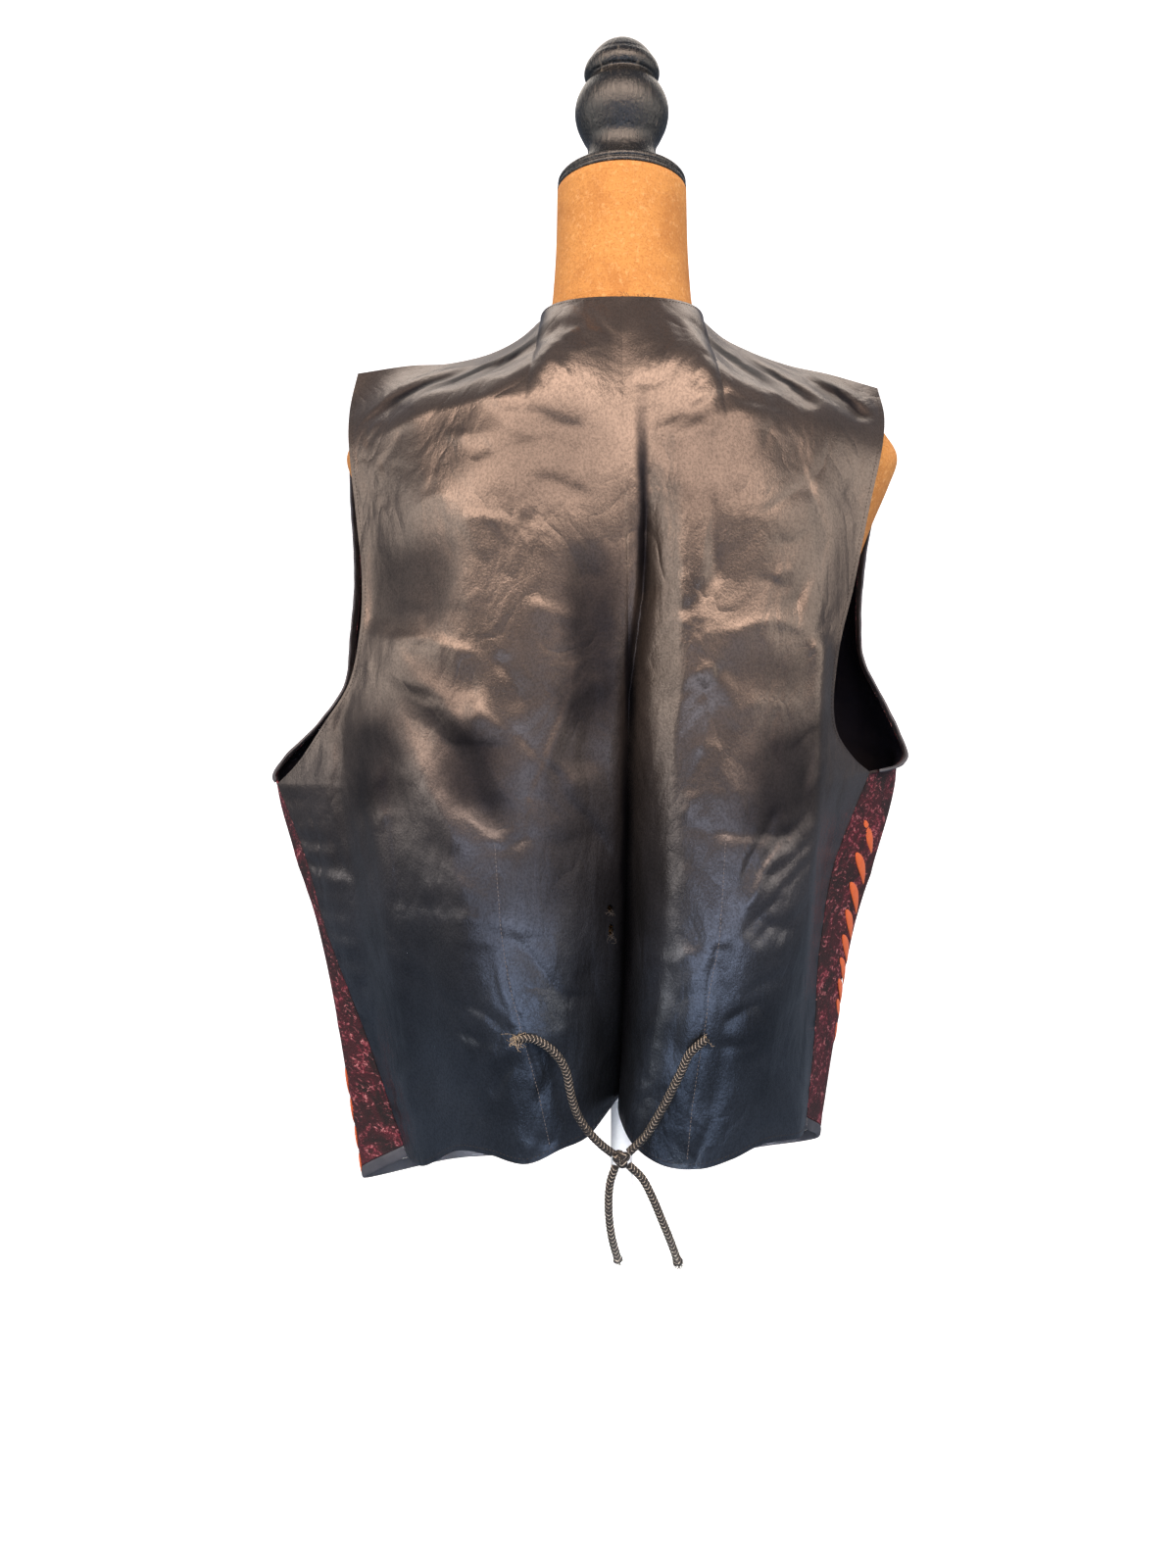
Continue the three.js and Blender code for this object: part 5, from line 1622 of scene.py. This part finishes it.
def uv_at(surface, x, z):
    """Where half of the back passes through these x and z, by steps from a first guess."""
    u, v = np.full(len(x), 0.3), (z - HEM_Z) / (NAPE_Z - HEM_Z)
    for _ in range(24):
        point = surface(u, v)
        across, up = x - point[:, 0], z - point[:, 2]
        along_u, along_v = steps_of(surface, u, v)
        area = along_u[:, 0] * along_v[:, 2] - along_u[:, 2] * along_v[:, 0]
        u = np.clip(u + (across * along_v[:, 2] - up * along_v[:, 0]) / area, 0, 1)
        v = np.clip(v + (up * along_u[:, 0] - across * along_u[:, 2]) / area, 0, 1)
    return u, v


def stitches(bm, line, pitch, length, radius):
    """Row of short raised stitches along a line of points."""
    fine = curve(line, pitch)
    for a, b in zip(fine[:-1], fine[1:]):
        along_it = Vector(b - a).normalized()
        middle = Vector((a + b) / 2) * MM
        turn = Vector((0, 0, 1)).rotation_difference(along_it).to_matrix().to_4x4()
        size = Matrix.Diagonal((radius * MM, radius * MM, length / 2 * MM, 1))
        place = Matrix.Translation(middle) @ turn @ size
        bmesh.ops.create_icosphere(bm, subdivisions=1, radius=1, matrix=place)


def stitched(bm, side, u, v, stitch, lift):
    """Row of stitches on half of the back, along a line of u and v."""
    surface = satin_surface(side)
    outward = normal_of(surface, side, u, v) * (SATIN / 2 + lift)
    stitches(bm, surface(u, v) + outward, *stitch)


def topstitching(material):
    """Stitches beside the hem, the neck and the armhole of each half of the back."""
    bm = bmesh.new()
    for side in SIDES:
        surface = satin_surface(side)
        hem_u, neck_u = np.linspace(0.03, 0.97, 60), np.linspace(0.02, 0.29, 20)
        arm_v = np.linspace(0.42, 0.98, 60)
        hem_v = share_of_v(surface, hem_u, np.zeros_like(hem_u), STITCH_INSET)
        neck_v = 1 - share_of_v(surface, neck_u, np.ones_like(neck_u), STITCH_INSET)
        arm_u = 1 - share_of_u(surface, np.ones_like(arm_v), arm_v, STITCH_INSET)
        for u, v in ((hem_u, hem_v), (neck_u, neck_v), (arm_u, arm_v)):
            stitched(bm, side, u, v, TOP_STITCH, 0.12)
    finished(bm, "topstitching", [material])


def dart_stitches(material):
    """Stitches along both darts."""
    bm = bmesh.new()
    for side in SIDES:
        seam = curve([(x, 0, z) for x, z in DART_SEAMS[side]], 4)
        u, v = uv_at(BACKS[side], seam[:, 0], seam[:, 2])
        stitched(bm, side, u, v, DART_STITCH, 0.05)
    finished(bm, "dart_stitches", [material])


def tack_threads(material):
    """Frayed bar tacks where the cords are sewn in."""
    bm = bmesh.new()
    for name, count, reach in (("cord_left", 40, 8), ("cord_right", 16, 4.5)):
        start = cord_points(name)[0]
        wisps(bm, start + (0, -0.5, 0), count, reach, spread=1.8, radius=0.13, seed=len(name))
    finished(bm, "tack_threads", [material])


def loose_threads(material):
    """Frayed ends of the tie, threads at the nape and in the rips."""
    bm = bmesh.new()
    for name in ("cord_tail_left", "cord_tail_right"):
        wisps(bm, cord_points(name)[-1], count=40, reach=5, spread=1.2, radius=0.2, seed=len(name),
              pull=(0, 0, -1.6))
    for k, point in enumerate(back_top(RIGHT, np.linspace(0, 0.07, 9))):
        wisps(bm, point + (0, -0.4, 0.4), count=2, reach=3.5, spread=0.5, radius=0.13, seed=60 + k,
              pull=(0, 0, 0.8))
    for x, z, half_width, half_height in zip(*RIPS.values()):
        wisps(bm, (x, RIP_Y, z), count=12, reach=half_height, spread=half_width / 2, radius=0.15,
              seed=int(z))
    finished(bm, "loose_threads", [material])


class WAISTCOAT_OT_trim(bpy.types.Operator):
    """Topstitching, bar tacks and frayed threads"""
    bl_idname = "waistcoat.trim"
    bl_label = "Stitches and threads"

    def execute(self, context):
        dark = loose_thread("dark_thread", colour("1c1a1a"), colour("4a4440"))
        grey = loose_thread("grey_thread", colour("3c3a3c"), colour("8a8482"))
        beige = loose_thread("beige_thread", colour("8a765c"), colour("dccbae"))
        topstitching(dark)
        dart_stitches(grey)
        tack_threads(beige)
        loose_threads(dark)
        return {"FINISHED"}


# Buttons

def sewn_button(name, material):
    """Button with a rim and four sunk holes, in the place of a CAD button of this name."""
    low, high = (np.array(corner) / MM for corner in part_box(name))
    centre, radius, rise = (low + high) / 2, (high[0] - low[0]) / 2, high[1] - low[1]
    points = np.array([
        (0, 0), (radius - 1, 0), (radius - 0.15, 0.6), (radius, 1.4), (radius - 0.2, rise - 0.6),
        (radius - 0.9, rise), (radius - 2, rise - 0.5), (radius - 3, rise - 1.2), (0, rise - 1.4),
    ])
    gaps = np.concatenate([[0], np.cumsum(np.linalg.norm(np.diff(points, axis=0), axis=1))])

    def place(s, t):
        run = t * gaps[-1]
        r, y = np.interp(run, gaps, points[:, 0]), np.interp(run, gaps, points[:, 1])
        x, z = r * np.cos(s * TURN), r * np.sin(s * TURN)
        hole = np.hypot(abs(x) - BUTTON_HOLE, abs(z) - BUTTON_HOLE)
        y = y - BUTTON_SINK * (1 - smooth_step(0.6, 1, hole)) * (t > 0.6)
        return np.stack([centre[0] + x, low[1] + y, centre[2] + z], axis=-1)

    bm = bmesh.new()
    grid(bm, (96, 90), place)
    return finished(bm, "sewn_" + name, [material], [name])


def button_thread(name, number, material):
    """Two loops of thread, each through two of a button's holes."""
    low, high = (np.array(corner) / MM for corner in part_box(name))
    foot = ((low[0] + high[0]) / 2, high[1], (low[2] + high[2]) / 2)
    bm = bmesh.new()
    for x in (-BUTTON_HOLE, BUTTON_HOLE):
        ends = [(x, -1.9, -BUTTON_HOLE), (x, -0.8, -BUTTON_HOLE / 2), (x, -0.8, BUTTON_HOLE / 2),
                (x, -1.9, BUTTON_HOLE)]
        line = curve(np.array(ends) + foot, 0.3)
        loft(bm, line, 8, lambda turn, share: (np.full_like(share, 0.45),) * 2)
    return finished(bm, f"button_thread_{number}", [material])


class WAISTCOAT_OT_buttons(bpy.types.Operator):
    """Four buttons down the front edge"""
    bl_idname = "waistcoat.buttons"
    bl_label = "Buttons"

    def execute(self, context):
        material = button_material()
        for number in range(1, BUTTONS + 1):
            name = f"button_{number}"
            sewn_button(name, material)
            button_thread(name, number, bpy.data.materials["dark_thread"])
        return {"FINISHED"}


# Dress form and stand

def suede_torso(material):
    """Padded bust and neck, a little slimmer than the CAD model's under the cloth."""
    places = np.arange(len(FORM["z"]), dtype=float)
    rows = dict(FORM, place=places)

    def torso(s, t):
        at = np.clip((t * (TORSO_RINGS + 2) - 1) / TORSO_RINGS, 0, 1) * places[-1]
        half, back, front, power, z = along(rows, "place", at, "half back front power z").T
        inside = (t > END) & (t < 1 - END)
        cos, sin = np.cos(s * TURN), np.sin(s * TURN)
        slim = SUEDE_INSET * (1 - smooth_step(*NECK_FOOT, z))
        depth = np.where(sin < 0, back, front) - slim
        x = (half - slim) * squared(cos, 2 / power) * inside
        y = depth * squared(sin, 2 / power) * inside
        return np.stack([x, y, z], axis=-1)

    bm = bmesh.new()
    grid(bm, (160, TORSO_RINGS + 2), torso)
    return finished(bm, "suede_torso", [material], ["form_torso"])


def turned_piece(name, node, rows, sides, rings, material):
    """Turned solid that stands for one CAD node."""
    bm = bmesh.new()
    turned(bm, rows, sides, rings)
    return finished(bm, name, [material], [node])


class WAISTCOAT_OT_form(bpy.types.Operator):
    """Suede torso, disc and turned finial"""
    bl_idname = "waistcoat.form"
    bl_label = "Dress form"

    def execute(self, context):
        settings = context.scene.waistcoat_form
        suede_torso(suede_material(settings))
        wood = wood_material(settings)
        finial = list(zip(*FINIAL.values()))
        turned_piece("turned_disc", "form_disc", DISC_PROFILE, 96, 160, wood)
        turned_piece("turned_finial", "form_finial", finial, 96, 320, wood)
        return {"FINISHED"}


class WAISTCOAT_OT_stand(bpy.types.Operator):
    """Pole and round base"""
    bl_idname = "waistcoat.stand"
    bl_label = "Stand"

    def execute(self, context):
        settings = context.scene.waistcoat_form
        paint = stand_paint()
        pole, base, height = (getattr(settings, name) / MM for name in ("pole", "base", "base_height"))
        pole_rows = [
            (0, height + 0.3), (24, height + 0.3), (25.7, height + 1.5), (26, height + 4),
            (26, height + 9), (25, height + 12.5), (22.5, height + 14), (12, height + 14.4),
            (pole + 0.4, height + 16), (pole, height + 19), (pole, 300), (pole, 600),
            (pole, POLE_TOP - 1.7), (pole - 1, POLE_TOP - 0.1), (0, POLE_TOP),
        ]
        base_rows = [
            (0, 0), (base - 3, 0), (base - 0.6, 0.8), (base, 3), (base, height - 8),
            (base - 1, height - 5), (base - 4, height - 2), (base - 10, height), (base - 40, height),
            (0, height),
        ]
        turned_piece("painted_pole", "form_pole", pole_rows, 64, 400, paint)
        turned_piece("painted_base", "form_base", base_rows, 128, 300, paint)
        return {"FINISHED"}


# Sidebar and start


PIECES = ("stage", "cords", "backs", "fronts", "bindings", "embroidery", "trim", "buttons", "form",
          "stand")
GROUPS = {
    "waistcoat_stage": StageSettings, "waistcoat_cloth": ClothSettings,
    "waistcoat_cord": CordSettings, "waistcoat_form": FormSettings,
}


class WAISTCOAT_PT_panel(bpy.types.Panel):
    """Sizes and colours, and a button for each group of pieces"""
    bl_idname = "WAISTCOAT_PT_panel"
    bl_label = "Waistcoat"
    bl_space_type = "VIEW_3D"
    bl_region_type = "UI"
    bl_category = "Waistcoat"

    def draw(self, context):
        for group in GROUPS:
            box = self.layout.box()
            settings = getattr(context.scene, group)
            for name in settings.bl_rna.properties.keys():
                if name not in ("rna_type", "name"):
                    box.prop(settings, name)
        for name in PIECES:
            self.layout.operator("waistcoat." + name)


CLASSES = (
    *GROUPS.values(), WAISTCOAT_OT_stage, WAISTCOAT_OT_cords, WAISTCOAT_OT_backs,
    WAISTCOAT_OT_fronts, WAISTCOAT_OT_bindings, WAISTCOAT_OT_embroidery, WAISTCOAT_OT_trim,
    WAISTCOAT_OT_buttons, WAISTCOAT_OT_form, WAISTCOAT_OT_stand, WAISTCOAT_PT_panel,
)


def register():
    for item in CLASSES:
        bpy.utils.register_class(item)
    for name, group in GROUPS.items():
        setattr(bpy.types.Scene, name, bpy.props.PointerProperty(type=group))


def unregister():
    for name in GROUPS:
        delattr(bpy.types.Scene, name)
    for item in reversed(CLASSES):
        bpy.utils.unregister_class(item)


def main():
    register()
    for name in PIECES:
        getattr(bpy.ops.waistcoat, name)()


if __name__ == "__main__":
    main()
